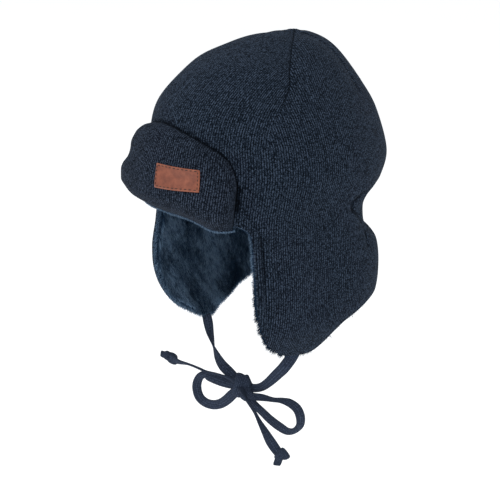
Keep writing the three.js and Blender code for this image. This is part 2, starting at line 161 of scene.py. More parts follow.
def mesh_object(name, points, faces, uv=None):
    """Object from points in metres and faces. UV is one pair for each corner, in millimetres."""
    mesh = bpy.data.meshes.new(name)
    mesh.from_pydata(np.asarray(points).tolist(), [], [list(map(int, face)) for face in faces])
    if uv is not None:
        layer = mesh.uv_layers.new(name="cloth_mm")
        layer.data.foreach_set("uv", np.asarray(uv, np.float32).ravel())
    mesh.polygons.foreach_set("use_smooth", [True] * len(mesh.polygons))
    made = bpy.data.objects.new(name, mesh)
    bpy.context.scene.collection.objects.link(made)
    return made


floor_paint = surface("matt_white_floor", "#f2f3f4", 0.9)
floor_clouds = node(floor_paint, "TexNoise", Scale=3,
                    Vector=node(floor_paint, "TexCoord", output="Object"))
finish(floor_paint, node(floor_paint, "ValToRGB", floor_clouds,
                         stops=((0, "#f1f2f3"), (1, "#f4f5f6"))))
floor_shader = floor_paint.node_tree.nodes["Principled BSDF"]
floor_shader.inputs["Emission Color"].default_value = linear("#ffffff")
floor_shader.inputs["Emission Strength"].default_value = 0.4
FLOOR_HALF = 14
floor = mesh_object(
    "floor",
    [(x * FLOOR_HALF, y * FLOOR_HALF, FLOOR_LEVEL) for x, y in ((-1, -1), (1, -1), (1, 1), (-1, 1))],
    [(0, 1, 2, 3)],
)
floor.data.materials.append(floor_paint)


# Ties
# Two flat ties of navy jersey, each a folded and sewn strip, are caught under the
# tips of the ear flaps, cross in a bow below the chin, and end in overhand knots.

TIE_WIDTH = 0.008

jersey = surface("navy_cotton_jersey", "#2c3546", 0.85, sheen=0.02, sheen_tint="#9aa6bb",
                 gloss=0.1)


def finish_jersey():
    """Jersey: fine ribs 0.9 mm apart along the tie, whose relief also darkens the tone slightly in
    their valleys as painted shade, a faint melange and soft dark patches.
    """
    place = node(jersey, "UVMap", uv_map="cloth_mm")
    across = node(jersey, "SeparateXYZ", place, output="X")
    along = node(jersey, "SeparateXYZ", place, output="Y")
    rib = node(jersey, "Math:SINE", node(jersey, "Math:MULTIPLY", across, 2 * math.pi / 0.9))
    loop = node(jersey, "Math:SINE", node(jersey, "Math:MULTIPLY", along, 2 * math.pi / 0.7))
    relief = node(jersey, "Math:MULTIPLY_ADD", loop, 0.4, rib)
    fleck = node(jersey, "TexNoise", Vector=place, Scale=0.9, Detail=3, Roughness=0.7)
    # The ribs' relief darkens the tone slightly in their valleys: painted shade.
    mixed = node(jersey, "Math:MULTIPLY_ADD", relief, 0.07, fleck)
    tone = node(jersey, "ValToRGB", mixed,
                stops=((0.3, "#1d2432"), (0.52, "#30394a"), (0.74, "#4b576c")))
    finish(jersey, tone, relief, 0.7, 0.0003)


finish_jersey()


def unit(vectors):
    """Vectors divided by their lengths."""
    return vectors / np.linalg.norm(vectors, axis=-1, keepdims=True)


def along_route(rows, step=0.0015):
    """Rows every step along a centripetal Catmull-Rom curve through the given rows.

    The first three values of a row are its point. Between two points whose chord is
    c apart, the curve's own parameter grows by the square root of c.
    """
    rows = np.array(rows, float)
    rows = np.vstack([2 * rows[0] - rows[1], rows, 2 * rows[-1] - rows[-2]])
    gaps = np.sqrt(np.linalg.norm(np.diff(rows[:, :3], axis=0), axis=1))
    pieces = []
    for at in range(1, len(rows) - 2):
        before, start, end, after = rows[at - 1:at + 3]
        first, middle, last = gaps[at - 1:at + 2]
        slope = (start - before) / first - (end - before) / (first + middle) + (end - start) / middle
        slope_end = (end - start) / middle - (after - start) / (middle + last) + (after - end) / last
        t = np.linspace(0, 1, 24, endpoint=False)[:, None]
        rest = (start * (2 * t ** 3 - 3 * t ** 2 + 1) + end * (3 * t ** 2 - 2 * t ** 3)
                + middle * slope * (t ** 3 - 2 * t ** 2 + t) + middle * slope_end * (t ** 3 - t ** 2))
        pieces.append(rest)
    fine = np.vstack([*pieces, rows[-2:-1]])
    reach = np.concatenate([[0], np.cumsum(np.linalg.norm(np.diff(fine[:, :3], axis=0), axis=1))])
    places = np.linspace(0, reach[-1], max(8, round(reach[-1] / step)) + 1)
    return np.stack([np.interp(places, reach, column) for column in fine.T], 1), reach[-1]


# Steps of ring and column from a face's place to its four corners
DOWN_FIRST = ((0, 0), (1, 0), (1, 1), (0, 1))
ALONG_FIRST = ((0, 0), (0, 1), (1, 1), (1, 0))


def skin(rings, count, steps, joined=False):
    """Four-sided faces between rings of a count of points, and the ring and the column of
    each of their corners. Corner = place + step, and a joined skin closes on its first ring."""
    ring, side = np.divmod(np.arange((rings if joined else rings - 1) * count), count)
    corners = [(ring + down, side + along) for down, along in steps]
    return np.stack([r % rings * count + c % count for r, c in corners], 1).tolist(), corners


def end_caps(rings, count, flip=False):
    """Triangles from the first and the last ring to the two points that follow the rings."""
    at = np.arange(count)
    after = np.roll(at, -1)
    first, last = at * 0 + rings * count, (rings - 1) * count
    caps = np.vstack([np.stack([first, at, after], 1),
                      np.stack([first + 1, last + after, last + at], 1)])
    return (caps[:, [0, 2, 1]] if flip else caps).tolist()


FACING = np.array([0.80, -0.58, 0.15])
TIE_CORNERS = 16
TIE_ROUND = np.linspace(0, 2 * np.pi, TIE_CORNERS, endpoint=False)[:, None]


def ribbon(name, rows):
    """Flat tie along a route, as a closed tube with a superellipse section.

    A row is x, y, z, width, thickness and turn. The flat side faces the front left
    of the bow where turn is 0, and is turned about the tie by turn in degrees. A ring's
    point is centre + (width/2) sign(cos) |cos|^0.7 W + (thickness/2) sign(sin) |sin|^0.7 N.
    """
    route, length = along_route(rows)
    centres = route[:, :3]
    tangents = unit(np.gradient(centres, axis=0))
    face = unit(FACING - (tangents @ FACING)[:, None] * tangents)
    side = np.cross(tangents, face)
    turn = np.radians(route[:, 5:6])
    wide = (np.cos(turn) * side + np.sin(turn) * face) * route[:, 3:4] / 2
    thin = (np.cos(turn) * face - np.sin(turn) * side) * route[:, 4:5] / 2
    cosine, sine = np.cos(TIE_ROUND), np.sin(TIE_ROUND)
    rings = (centres[:, None] + np.sign(cosine) * np.abs(cosine) ** 0.7 * wide[:, None]
             + np.sign(sine) * np.abs(sine) ** 0.7 * thin[:, None])
    points = np.vstack([rings.reshape(-1, 3), centres[:1], centres[-1:]])
    faces, corners = skin(len(rings), TIE_CORNERS, ALONG_FIRST)
    faces += end_caps(len(rings), TIE_CORNERS, flip=True)
    girth = np.linspace(0, 2 * TIE_WIDTH * 1000, TIE_CORNERS + 1)
    reach = np.linspace(0, length * 1000, len(rings))
    uv = np.stack([np.stack([girth[c], reach[r]], -1) for r, c in corners], 1).reshape(-1, 2)
    cap_uv = [pair for x in girth[:-1] for pair in ((0, 0), (x, 0), (x, 1))] * 2
    made = mesh_object(name, points, faces, np.vstack([uv, cap_uv]))
    made.data.materials.append(jersey)
    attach(made, "root")
    return made, centres, length


# x, y, z, width, thickness, turn
STRAP_RIGHT = [
    (-0.0628, -0.0041, -0.1195, 0.0085, 0.002, 0),
    (-0.0586, -0.0052, -0.1256, 0.0087, 0.002, 8),
    (-0.056, -0.0045, -0.1365, 0.0085, 0.002, 48),
    (-0.0495, -0.006, -0.1445, 0.0085, 0.002, 88),
    (-0.041, -0.008, -0.1515, 0.0092, 0.002, 132),
    (-0.0305, -0.009, -0.1575, 0.0098, 0.002, 162),
    (-0.024, -0.006, -0.163, 0.0096, 0.0022, 175),
    (-0.0165, -0.0045, -0.167, 0.009, 0.0024, 175),
    (-0.0055, -0.006, -0.168, 0.008, 0.003, 180),
]
STRAP_LEFT = [
    (0.0626, 0.0022, -0.1204, 0.01, 0.002, -8),
    (0.0585, 0.0023, -0.1268, 0.0102, 0.002, -5),
    (0.055, -0.003, -0.136, 0.0102, 0.002, 0),
    (0.046, -0.004, -0.145, 0.01, 0.002, 5),
    (0.0335, -0.004, -0.156, 0.009, 0.002, 8),
    (0.0205, -0.003, -0.1645, 0.0085, 0.0024, 10),
    (0.009, -0.0035, -0.1685, 0.008, 0.003, 10),
    (0.0015, -0.005, -0.168, 0.0075, 0.0032, 10),
]
LOOP_RIGHT = [
    (-0.003, -0.0095, -0.168, 0.0075, 0.003, 0),
    (-0.0125, -0.0115, -0.17, 0.0082, 0.0024, 0),
    (-0.0235, -0.0145, -0.17, 0.009, 0.002, 0),
    (-0.034, -0.018, -0.169, 0.0088, 0.002, 5),
    (-0.0435, -0.0205, -0.1685, 0.008, 0.002, 20),
    (-0.051, -0.021, -0.1745, 0.0085, 0.002, 20),
    (-0.054, -0.021, -0.1835, 0.0085, 0.002, 10),
    (-0.0515, -0.02, -0.192, 0.0085, 0.002, 5),
    (-0.044, -0.0185, -0.1955, 0.0085, 0.002, 0),
    (-0.035, -0.016, -0.1955, 0.0088, 0.002, 0),
    (-0.026, -0.014, -0.192, 0.0092, 0.002, 0),
    (-0.017, -0.013, -0.1855, 0.0095, 0.0022, 0),
    (-0.01, -0.0125, -0.179, 0.0095, 0.0026, 0),
    (-0.0045, -0.0105, -0.173, 0.0085, 0.003, 0),
]
LOOP_LEFT = [
    (0.0035, -0.0085, -0.17, 0.007, 0.003, 0),
    (0.015, -0.0085, -0.173, 0.0065, 0.0028, 20),
    (0.025, -0.0045, -0.1725, 0.0075, 0.0022, 52),
    (0.035, -0.001, -0.172, 0.008, 0.002, 78),
    (0.0445, 0.0025, -0.1705, 0.008, 0.002, 70),
    (0.0535, 0.0045, -0.1705, 0.0082, 0.002, 42),
    (0.062, 0.006, -0.1735, 0.0084, 0.002, 24),
    (0.0675, 0.0055, -0.179, 0.0085, 0.002, 20),
    (0.0665, 0.006, -0.187, 0.0082, 0.002, 30),
    (0.0605, 0.005, -0.1935, 0.0078, 0.002, 38),
    (0.0535, 0.0025, -0.196, 0.0082, 0.002, 22),
    (0.0435, 0.0005, -0.1945, 0.0084, 0.002, 10),
    (0.0325, -0.0015, -0.191, 0.008, 0.0022, 12),
    (0.022, -0.003, -0.1865, 0.0075, 0.0024, 15),
    (0.013, -0.005, -0.182, 0.0072, 0.0028, 10),
    (0.0055, -0.008, -0.175, 0.007, 0.003, 0),
]
TAIL_RIGHT = [
    (-0.003, -0.013, -0.1645, 0.007, 0.0028, 60),
    (-0.0115, -0.017, -0.162, 0.0065, 0.0024, 70),
    (-0.023, -0.0205, -0.1615, 0.0065, 0.0022, 78),
    (-0.0335, -0.0245, -0.1615, 0.0065, 0.0022, 80),
    (-0.045, -0.026, -0.161, 0.0065, 0.0022, 78),
    (-0.057, -0.0285, -0.1605, 0.0065, 0.0022, 70),
    (-0.0685, -0.031, -0.161, 0.007, 0.0024, 45),
    (-0.083, -0.0325, -0.1605, 0.008, 0.003, 10),
]
TAIL_LEFT = [
    (0.004, -0.0125, -0.1685, 0.007, 0.003, 60),
    (0.015, -0.0175, -0.1695, 0.007, 0.0024, 80),
    (0.023, -0.0175, -0.175, 0.0072, 0.0022, 84),
    (0.0285, -0.015, -0.1825, 0.0072, 0.002, 84),
    (0.033, -0.013, -0.1905, 0.0076, 0.002, 70),
    (0.0375, -0.0105, -0.1985, 0.0082, 0.002, 48),
    (0.042, -0.008, -0.2065, 0.0088, 0.002, 20),
    (0.0475, -0.0055, -0.2135, 0.0086, 0.0022, 0),
    (0.052, -0.0045, -0.217, 0.008, 0.0028, 0),
]


def smooth_rows(table, place):
    """Rows of a table at places counted in rows, on a smooth curve through them."""
    last = len(table) - 1
    at = np.clip(np.floor(place).astype(int), 0, last - 1)
    t = (place - at)[..., None]
    before, start, end, after = (table[np.clip(at + step, 0, last)] for step in (-1, 0, 1, 2))
    bend = before - 2.5 * start + 2 * end - after / 2
    twist = (after - before + 3 * (start - end)) / 2
    return start + t * ((end - before) / 2 + t * (bend + t * twist))


TURN_RINGS = 72


def knot(name, node_name, centre, turns):
    """Knot made of closed turns of tie, which replaces its plain solid.

    A turn's row is its offset, axis, oval's two radii, width, thickness and lean. Its
    middle line is centre + offset + wide cos t S + deep sin t O + lean cos t A, with A
    the axis, and its width lies along the axis.
    """
    points, faces, uv = [], [], []
    for at, (offset, axis, wide, deep, width, thickness, lean) in enumerate(turns):
        axis = unit(np.array(axis, float))
        side = unit(np.cross(axis, FACING))
        t = np.radians(np.arange(-30, 391, 30))[:, None]
        oval = (np.array(centre) + offset + (wide * side + lean * axis) * np.cos(t)
                + deep * np.sin(t) * np.cross(side, axis))
        route = smooth_rows(oval, np.linspace(1, 13, TURN_RINGS, endpoint=False))
        tangents = unit(np.roll(route, -1, 0) - np.roll(route, 1, 0))
        across = unit(axis - (tangents @ axis)[:, None] * tangents)
        through = np.cross(tangents, across)
        rings = (route[:, None] + width / 2 * np.cos(TIE_ROUND) * across[:, None]
                 + thickness / 2 * np.sin(TIE_ROUND) * through[:, None])
        quads, corners = skin(TURN_RINGS, TIE_CORNERS, ALONG_FIRST, joined=True)
        points.append(rings.reshape(-1, 3))
        faces.append(np.array(quads) + at * TURN_RINGS * TIE_CORNERS)
        uv.append(np.stack([np.stack([c * 1.0, r * 0.9], -1) for r, c in corners], 1))
    made = mesh_object(name, np.vstack(points), np.vstack(faces), np.vstack(uv))
    made.data.materials.append(jersey)
    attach(made, "root")
    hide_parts(node_name)
    return made


bow_knot = knot("bow_knot_turns", "bow_knot", (0.0005, -0.0085, -0.1685), [
    ((-0.0022, -0.0022, 0.0008), (0.6, 0.68, -0.41), 0.0086, 0.0062, 0.0098, 0.0042, 0.0015),
    ((0.0025, 0.0032, 0.0016), (0.42, 0.75, 0.5), 0.0066, 0.0056, 0.0086, 0.004, -0.001),
    ((0.0032, 0.0015, -0.0048), (0.5, 0.5, -0.7), 0.0052, 0.0046, 0.0105, 0.004, 0.001),
    ((0, 0, 0), (0.57, 0.82, 0), 0.0042, 0.004, 0.015, 0.007, 0),
])
end_knot_right = knot("end_knot_right_turns", "end_knot_right", (-0.083, -0.0315, -0.161), [
    ((0.0018, 0.002, -0.001), (0.62, 0.69, -0.37), 0.0031, 0.0028, 0.0092, 0.004, 0.0012),
    ((-0.001, -0.001, 0.0012), (0.34, 0.76, 0.55), 0.0034, 0.003, 0.0074, 0.0036, 0.001),
    ((-0.0032, -0.0036, 0.0022), (0.62, 0.69, -0.37), 0.0022, 0.001, 0.007, 0.0018, 0.0006),
])
end_knot_left = knot("end_knot_left_turns", "end_knot_left", (0.053, -0.0045, -0.217), [
    ((0, 0, 0), (0.51, 0.34, -0.79), 0.0044, 0.0036, 0.0078, 0.0038, 0.001),
    ((0.0015, 0.0022, 0.0008), (0.46, 0.82, 0.33), 0.0034, 0.003, 0.0072, 0.0036, 0.001),
    ((0, -0.003, -0.0052), (0.02, -0.43, -0.9), 0.0026, 0.001, 0.0072, 0.0018, 0.0006),
])

for name, rows, far_end, pieces in (
    ("strap_right", STRAP_RIGHT, "object", []),
    ("strap_left", STRAP_LEFT, "object", [bow_knot]),
    ("loop_right", LOOP_RIGHT, "object", []),
    ("loop_left", LOOP_LEFT, "object", []),
    ("tail_right", TAIL_RIGHT, "knot", [end_knot_right]),
    ("tail_left", TAIL_LEFT, "knot", [end_knot_left]),
):
    tie, centres, length = ribbon(name + "_tie", rows)
    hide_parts(name)


# Cloth form
# The hat's own form, which the knit, the plush and the brim all follow: level ovals
# that grow from the crown's top to the flaps' tips, drawn in at four darts and at
# the nape by a short elastic.

HEAD_LENGTH = 0.192
HEAD_WIDTH = 0.166
CROWN_HEIGHT = 0.1435
FLAP_DROP = 0.122
FRONT_RISE = 0.004
# how much lower the wearer's right flap hangs: degrees from the front, metres
RIGHT_FLAP_DROOP = np.array([
    (60, 0), (66, -0.0005), (70, -0.0015), (74, -0.0015), (78, -0.0005), (86, -0.0005),
    (89, -0.0035), (92, -0.0065), (96, -0.0075), (99, -0.0055), (102, -0.0005),
    (105, 0.0045), (109, 0.006), (114, 0.006), (120, 0.004), (127, 0.0015), (133, 0),
])
KNIT_WALL = 0.002
PLUSH_DEPTH = 0.006
LINING_TOP = 0.0023
DART_DEPTH = 0.002
DART_WIDTH = 0.009
NAPE_DEPTH = 0.018
NAPE_HALF_HEIGHT = 0.018
NAPE_DROP = 0.008

# height, front, back, side, square: shares of the sizes above, and the oval's power
SECTIONS = np.array([
    (1.0, -0.48, 0.48, 0.0, 2.0),
    (0.979, -0.13, 0.63, 0.25, 2.0),
    (0.924, 0.19, 0.79, 0.455, 2.0),
    (0.834, 0.5, 0.92, 0.675, 2.0),
    (0.676, 0.77, 1.09, 0.872, 2.0),
    (0.524, 0.885, 1.22, 1.0, 2.0),
    (0.283, 0.92, 1.335, 1.06, 2.0),
    (0.131, 0.91, 1.24, 1.04, 2.2),
    (0.0, 0.9, 1.14, 1.01, 2.4),
    (-0.205, 0.9, 1.11, 1.02, 2.7),
    (-0.41, 0.9, 1.1, 1.06, 3.0),
    (-0.615, 0.89, 1.09, 1.06, 2.9),
    (-0.795, 0.875, 1.06, 1.01, 2.5),
    (-1.0, 0.83, 1.0, 0.82, 2.2),
])

# around in degrees from the front, drop and rise of the lower edge as shares
EDGE = np.array([
    (0, 0.0, 1.0), (20, 0.0, 0.9), (38, 0.0, 0.5), (50, 0.01, 0.0), (55, 0.08, 0.0),
    (56, 0.25, 0.0), (56.1, 0.45, 0.0), (56.3, 0.56, 0.0), (57.3, 0.65, 0.0),
    (59.2, 0.735, 0.0), (62, 0.82, 0.0), (66, 0.89, 0.0), (71.5, 0.945, 0.0),
    (78, 0.985, 0.0), (85, 1.0, 0.0), (92, 0.998, 0.0), (96.5, 0.98, 0.0), (99.5, 0.94, 0.0),
    (102.3, 0.885, 0.0), (105, 0.83, 0.0), (109.5, 0.775, 0.0), (117, 0.728, 0.0),
    (125, 0.685, 0.0), (134, 0.65, 0.0), (145, 0.625, 0.0), (162, 0.605, 0.0),
    (180, 0.6, 0.0),
])

# height, front, back: a share of the crown's height, and the angles of one side's darts
DARTS = np.array([
    (0.35, 58, 129), (0.5, 61.5, 131), (0.58, 65, 131), (0.68, 71, 132), (0.76, 75, 134),
    (1.0, 75, 137),
])


def smoothstep(value, low, high):
    """Smooth rise from 0 at low to 1 at high: 3t^2 - 2t^3."""
    t = np.clip((value - low) / (high - low), 0, 1)
    return t * t * (3 - 2 * t)


def height_at(place):
    """Height in metres at a place in the sections."""
    share = smooth_rows(SECTIONS, place)[..., 0]
    return share * np.where(share > 0, CROWN_HEIGHT, FLAP_DROP)


PLACES = np.linspace(0, len(SECTIONS) - 1, 6501)
PLACE_HEIGHTS = height_at(PLACES)


def place_at(height):
    """Place in the sections that lies at a height."""
    return np.interp(-np.asarray(height, float), -PLACE_HEIGHTS, PLACES)


def form_point(angle, place):
    """Point on the form: a superellipse |x/a|^n + |y/b|^n = 1 at each level."""
    _, front, back, side, square = np.moveaxis(smooth_rows(SECTIONS, place), -1, 0)
    sine, cosine = np.sin(np.radians(angle)), np.cos(np.radians(angle))
    scale = (np.abs(sine) ** square + np.abs(cosine) ** square) ** (-1 / square)
    x = side * HEAD_WIDTH / 2 * sine * scale
    y = ((back - front) - (back + front) * cosine * scale) * HEAD_LENGTH / 4
    return np.stack([x, y, height_at(place)], -1)


def normal_of(points, angle, place):
    """Outward normal of a surface given by a function of angle and place."""
    along_u = points(angle + 0.5, place) - points(angle - 0.5, place)
    along_v = points(angle, place - 0.02) - points(angle, place + 0.02)
    normal = np.cross(along_u, along_v)
    return normal / np.maximum(np.linalg.norm(normal, axis=-1, keepdims=True), 1e-12)


def from_front(angle):
    """Angle from the front, from 0 to 180 degrees on either side."""
    turn = np.mod(angle, 360)
    return np.minimum(turn, 360 - turn)


def dart_angles(height):
    """Angles from the front of the front and the back dart at a height."""
    share = height / CROWN_HEIGHT
    return np.interp(share, DARTS[:, 0], DARTS[:, 1]), np.interp(share, DARTS[:, 0], DARTS[:, 2])


def dart_distances(angle, place):
    """Distances in metres round the hat from the nearest front and back dart."""
    side = smooth_rows(SECTIONS, place)[..., 3] * HEAD_WIDTH / 2
    return [np.radians(from_front(angle) - dart) * side for dart in dart_angles(height_at(place))]


def drawn_in(angle, place):
    """Depth in metres by which the darts and the nape's elastic draw the cloth in."""
    height = height_at(place)
    side = smooth_rows(SECTIONS, place)[..., 3] * HEAD_WIDTH / 2
    reach = smoothstep(height, 0.35 * CROWN_HEIGHT, 0.9 * CROWN_HEIGHT)
    reach = reach * smoothstep(side, 0, 2 * DART_WIDTH)
    depth = sum(DART_DEPTH * reach * np.exp(-(away / DART_WIDTH) ** 2)
                for away in dart_distances(angle, place))
    backward = smoothstep(from_front(angle), 112, 152)
    level = (height + NAPE_DROP) / NAPE_HALF_HEIGHT
    return depth + NAPE_DEPTH * backward * np.exp(-np.abs(level) ** 3)


def cloth_point(angle, place):
    """Point on the cloth's plain outer face."""
    return form_point(angle, place) - (
        normal_of(form_point, angle, place) * drawn_in(angle, place)[..., None])


EDGE_POINTS = np.stack([
    np.radians(EDGE[:, 0]) * HEAD_WIDTH / 2,
    EDGE[:, 2] * FRONT_RISE - EDGE[:, 1] * FLAP_DROP,
], 1)
EDGE_LINE = smooth_rows(EDGE_POINTS, np.linspace(0, len(EDGE) - 1, 4001))
EDGE_REACH = np.concatenate(
    [[0], np.cumsum(np.linalg.norm(np.diff(EDGE_LINE, axis=0), axis=1))])
EDGE_REACH /= EDGE_REACH[-1]


def edge_at(share):
    """Angle in degrees and height of the lower edge at a share of its length."""
    around = np.interp(share, EDGE_REACH, EDGE_LINE[:, 0])
    return np.degrees(around / (HEAD_WIDTH / 2)), np.interp(share, EDGE_REACH, EDGE_LINE[:, 1])


def flat_distance(angle, height, line):
    """Distance in metres from a line of points (around, height) on the cloth laid flat."""
    around = np.radians(from_front(angle)) * HEAD_WIDTH / 2
    found = np.full(around.shape, 1.0)
    for x, z in line:
        np.minimum(found, np.hypot(around - x, height - z), out=found)
    return found


EDGE_FAN = 0.45


def fan_angle(share, edge_angle):
    """Angle of a column where the darts end: evenly spaced, or as on the edge by EDGE_FAN."""
    return (1 - EDGE_FAN) * 180 * share + EDGE_FAN * edge_angle


# Half a turn of columns, with one on each dart, as shares of the edge's length
LEVEL = 0.43 * CROWN_HEIGHT
LEVEL_DARTS = dart_angles(LEVEL)
share_steps = np.linspace(0, 1, 2001)
top_steps = fan_angle(share_steps, edge_at(share_steps)[0])
TOP_ANGLES = np.concatenate([
    np.linspace(0, LEVEL_DARTS[0], 59, endpoint=False),
    np.linspace(*LEVEL_DARTS, 69, endpoint=False),
    np.linspace(LEVEL_DARTS[1], 180, 51),
])
HALF_SHARES = np.interp(TOP_ANGLES, top_steps, share_steps)
SHARES = np.concatenate([HALF_SHARES, HALF_SHARES[-2:0:-1]])
SIDES = np.concatenate([np.ones(len(HALF_SHARES)), -np.ones(len(HALF_SHARES) - 2)])


def cloth_grid(crown_rows, side_rows):
    """Angle from 0 to 360 degrees and place of a grid of rows, from the crown's top to
    the lower edge, by columns round the hat. Two columns of each side follow its darts."""
    edge_angle, edge_height = edge_at(SHARES)
    droop = np.interp(edge_angle, RIGHT_FLAP_DROOP[:, 0], RIGHT_FLAP_DROOP[:, 1])
    edge_height = np.where(SIDES > 0, edge_height, edge_height - droop)
    top_angle = fan_angle(SHARES, edge_angle)
    down = np.linspace(0, 1, side_rows + 1)[1:, None]
    up = np.linspace(0, 1, crown_rows + 1)[1:, None] * place_at(LEVEL)
    crown = np.array([
        np.interp(top_angle, (0, *LEVEL_DARTS, 180), (0, *dart_angles(height), 180))
        for height in height_at(up[:, 0])
    ])
    angle = np.vstack([crown, top_angle + (edge_angle - top_angle) * down])
    below = place_at(LEVEL + (edge_height - LEVEL) * down)
    place = np.vstack([np.broadcast_to(up, (crown_rows, len(SHARES))), below])
    angle = np.where(SIDES > 0, angle, 360 - angle)
    return angle, place


def past_edge(points, outward):
    """Direction across the lower edge, away from the cloth, on a ring of edge points."""
    return unit(np.cross(np.roll(points, -1, 0) - np.roll(points, 1, 0), outward))


# Knit shell
# One layer of navy melange stocking stitch, 2 mm thick, cut as four gores that are
# sewn at the darts. Each gore's columns of stitches run straight up and are cut off
# by the seams. The front edges of the flaps are rolled and stitched.

WALE_MM = 2.1
COURSE_MM = 1.65
GORE_MIDDLES = np.array([0, 103.5, 180, 256.5, 360])

BEFORE_FRONT = 60
PLACE_STEP = 0.05

form_angles = np.arange(-BEFORE_FRONT, 360 + BEFORE_FRONT + 1, 1.0)
form_places = np.arange(0, len(SECTIONS) - 1 + 0.01, PLACE_STEP)
form_grid = form_point(*np.meshgrid(form_angles, form_places))
ROUND = np.hstack([np.zeros((len(form_places), 1)),
                   np.cumsum(np.linalg.norm(np.diff(form_grid, axis=1), axis=2), 1)])
ROUND -= ROUND[:, BEFORE_FRONT:BEFORE_FRONT + 1]
DOWN = np.vstack([np.zeros((1, len(form_angles))),
                  np.cumsum(np.linalg.norm(np.diff(form_grid, axis=0), axis=2), 0)])


def on_grid(values, angle, place):
    """Values of the form's grid at angles and places, on straight lines between."""
    column = np.clip(angle + BEFORE_FRONT, 0, len(form_angles) - 1.001)
    row = np.clip(place / PLACE_STEP, 0, len(form_places) - 1.001)
    left, top = column.astype(int), row.astype(int)
    s, t = column - left, row - top
    return ((values[top, left] * (1 - s) + values[top, left + 1] * s) * (1 - t)
            + (values[top + 1, left] * (1 - s) + values[top + 1, left + 1] * s) * t)


def cloth_millimetres(angle, place, gore):
    """Column and course coordinates of the knit in millimetres. Below the darts the
    columns run straight down, and above them each lies at a fixed distance from the
    middle of its gore. Courses are counted from where the darts begin."""
    middle = GORE_MIDDLES[gore]
    level_place = np.full_like(place, place_at(LEVEL))
    above, below = np.minimum(place, level_place), np.maximum(place, level_place)
    across = (on_grid(ROUND, middle, level_place)
              + on_grid(ROUND, angle, above) - on_grid(ROUND, middle, above))
    down = (on_grid(DOWN, middle, above) - on_grid(DOWN, middle, level_place)
            + on_grid(DOWN, angle, below) - on_grid(DOWN, angle, level_place))
    return np.stack([across, down], -1) * 1000


def knit_material(name, dark, middle, light, sheen):
    """Stocking stitch in melange yarn, with painted shade along the marked grooves. Each column
    is a rounded rib beside a dark gap, rib = 1 - (2a)^2, a across it, and holds two leaning legs of
    yarn, leg = 1 - (2b)^2, b along a leg; ribs and legs darken the tone in the gaps and at the legs'
    ends as painted shade of the stitch. The yarn's shade changes every 0.7 mm along and across."""
    knit = surface(name, middle, 0.95, sheen=sheen, sheen_tint="#8f9db3", gloss=0.06)
    place = node(knit, "UVMap", uv_map="cloth_mm")
    wobble = node(knit, "TexNoise", Vector=place, Scale=0.25)
    across = node(knit, "Math:MULTIPLY_ADD", wobble, 0.5,
                  node(knit, "SeparateXYZ", place, output="X"))
    column = node(knit, "Math:FRACT", node(knit, "Math:DIVIDE", across, WALE_MM))
    off = node(knit, "Math:ABSOLUTE", node(knit, "Math:SUBTRACT", column, 0.5))
    apart = node(knit, "Math:MULTIPLY", off, 2.0)
    rib = node(knit, "Math:SUBTRACT", 1.0, node(knit, "Math:MULTIPLY", apart, apart))
    courses = node(knit, "Math:DIVIDE", node(knit, "SeparateXYZ", place, output="Y"), COURSE_MM)
    course = node(knit, "Math:MULTIPLY_ADD", off, -1.2, courses)
    along = node(knit, "Math:MULTIPLY_ADD", node(knit, "Math:FRACT", course), 2.0, -1.0)
    leg = node(knit, "Math:SUBTRACT", 1.0, node(knit, "Math:MULTIPLY", along, along))
    stitch = node(knit, "Math:MULTIPLY_ADD", leg, 0.3, rib)
    tuft_x = node(knit, "Math:FLOOR", node(knit, "Math:DIVIDE", across, WALE_MM / 3))
    tuft_y = node(knit, "Math:FLOOR", node(knit, "Math:MULTIPLY", course, 2.0))
    yarn = node(knit, "TexWhiteNoise", node(knit, "CombineXYZ", tuft_x, tuft_y),
                noise_dimensions="2D")
    fleck = node(knit, "TexNoise", Vector=place, Scale=1.6, Detail=1)
    mixed = node(knit, "Math:MULTIPLY", wobble, 0.04)
    # The stitch relief also darkens the tone in the gaps between columns and at the legs' ends:
    # painted shade.
    for part, weight in ((fleck, 0.08), (yarn, 0.54), (stitch, 0.4)):
        mixed = node(knit, "Math:MULTIPLY_ADD", part, weight, mixed)
    # The marked grooves darken the tone along seams, hem folds, the nape and the gap beside the brim:
    # painted shade.
    groove_shade = node(knit, "Attribute", output="Fac", attribute_name="groove_shade")
    groove_shade_depth = node(knit, "MapRange", groove_shade, 0.0, 1.8, 0.4, 0.0)
    tone = node(knit, "ValToRGB", node(knit, "Math:SUBTRACT", mixed, groove_shade_depth),
                stops=((0.35, dark), (0.7, middle), (1.0, light)))
    fuzz = node(knit, "TexNoise", Vector=place, Scale=3.5, Detail=3, Roughness=0.7)
    finish(knit, tone, node(knit, "Math:MULTIPLY_ADD", fuzz, 0.35, stitch), 0.6, 0.0006)
    return knit


shell_knit = knit_material("navy_melange_knit", "#03060c", "#111a25", "#3e4a5b", 0.08)


def set_attribute(made, name, values):
    """Number for each point of a mesh."""
    made.data.attributes.new(name, "FLOAT", "POINT").data.foreach_set(
        "value", np.asarray(values, np.float32))


def soft_waves(points, scale, seed):
    """Smooth waves from -1 to 1 in space: a sum of six sines with seeded directions."""
    chance = np.random.default_rng(seed)
    total = 0
    for _ in range(6):
        towards = chance.normal(size=3)
        towards /= np.linalg.norm(towards)
        total = total + np.sin(points @ towards * 2 * np.pi / (scale * chance.uniform(0.7, 1.4))
                               + chance.uniform(0, 2 * np.pi))
    return total / 3.2


def nape_gathers(angle, height):
    """Upright gathers over the nape's elastic, from -1 to 1: waves 16 mm apart that fade
    away above, below and towards the sides."""
    fold = from_front(angle)
    level = np.exp(-((height + NAPE_DROP) / 0.014) ** 2)
    waves = np.cos(np.radians(fold - 150) * 0.1 / 0.0026 + 0.8 * np.sin(height / 0.012))
    return smoothstep(fold, 118, 146) * level * waves


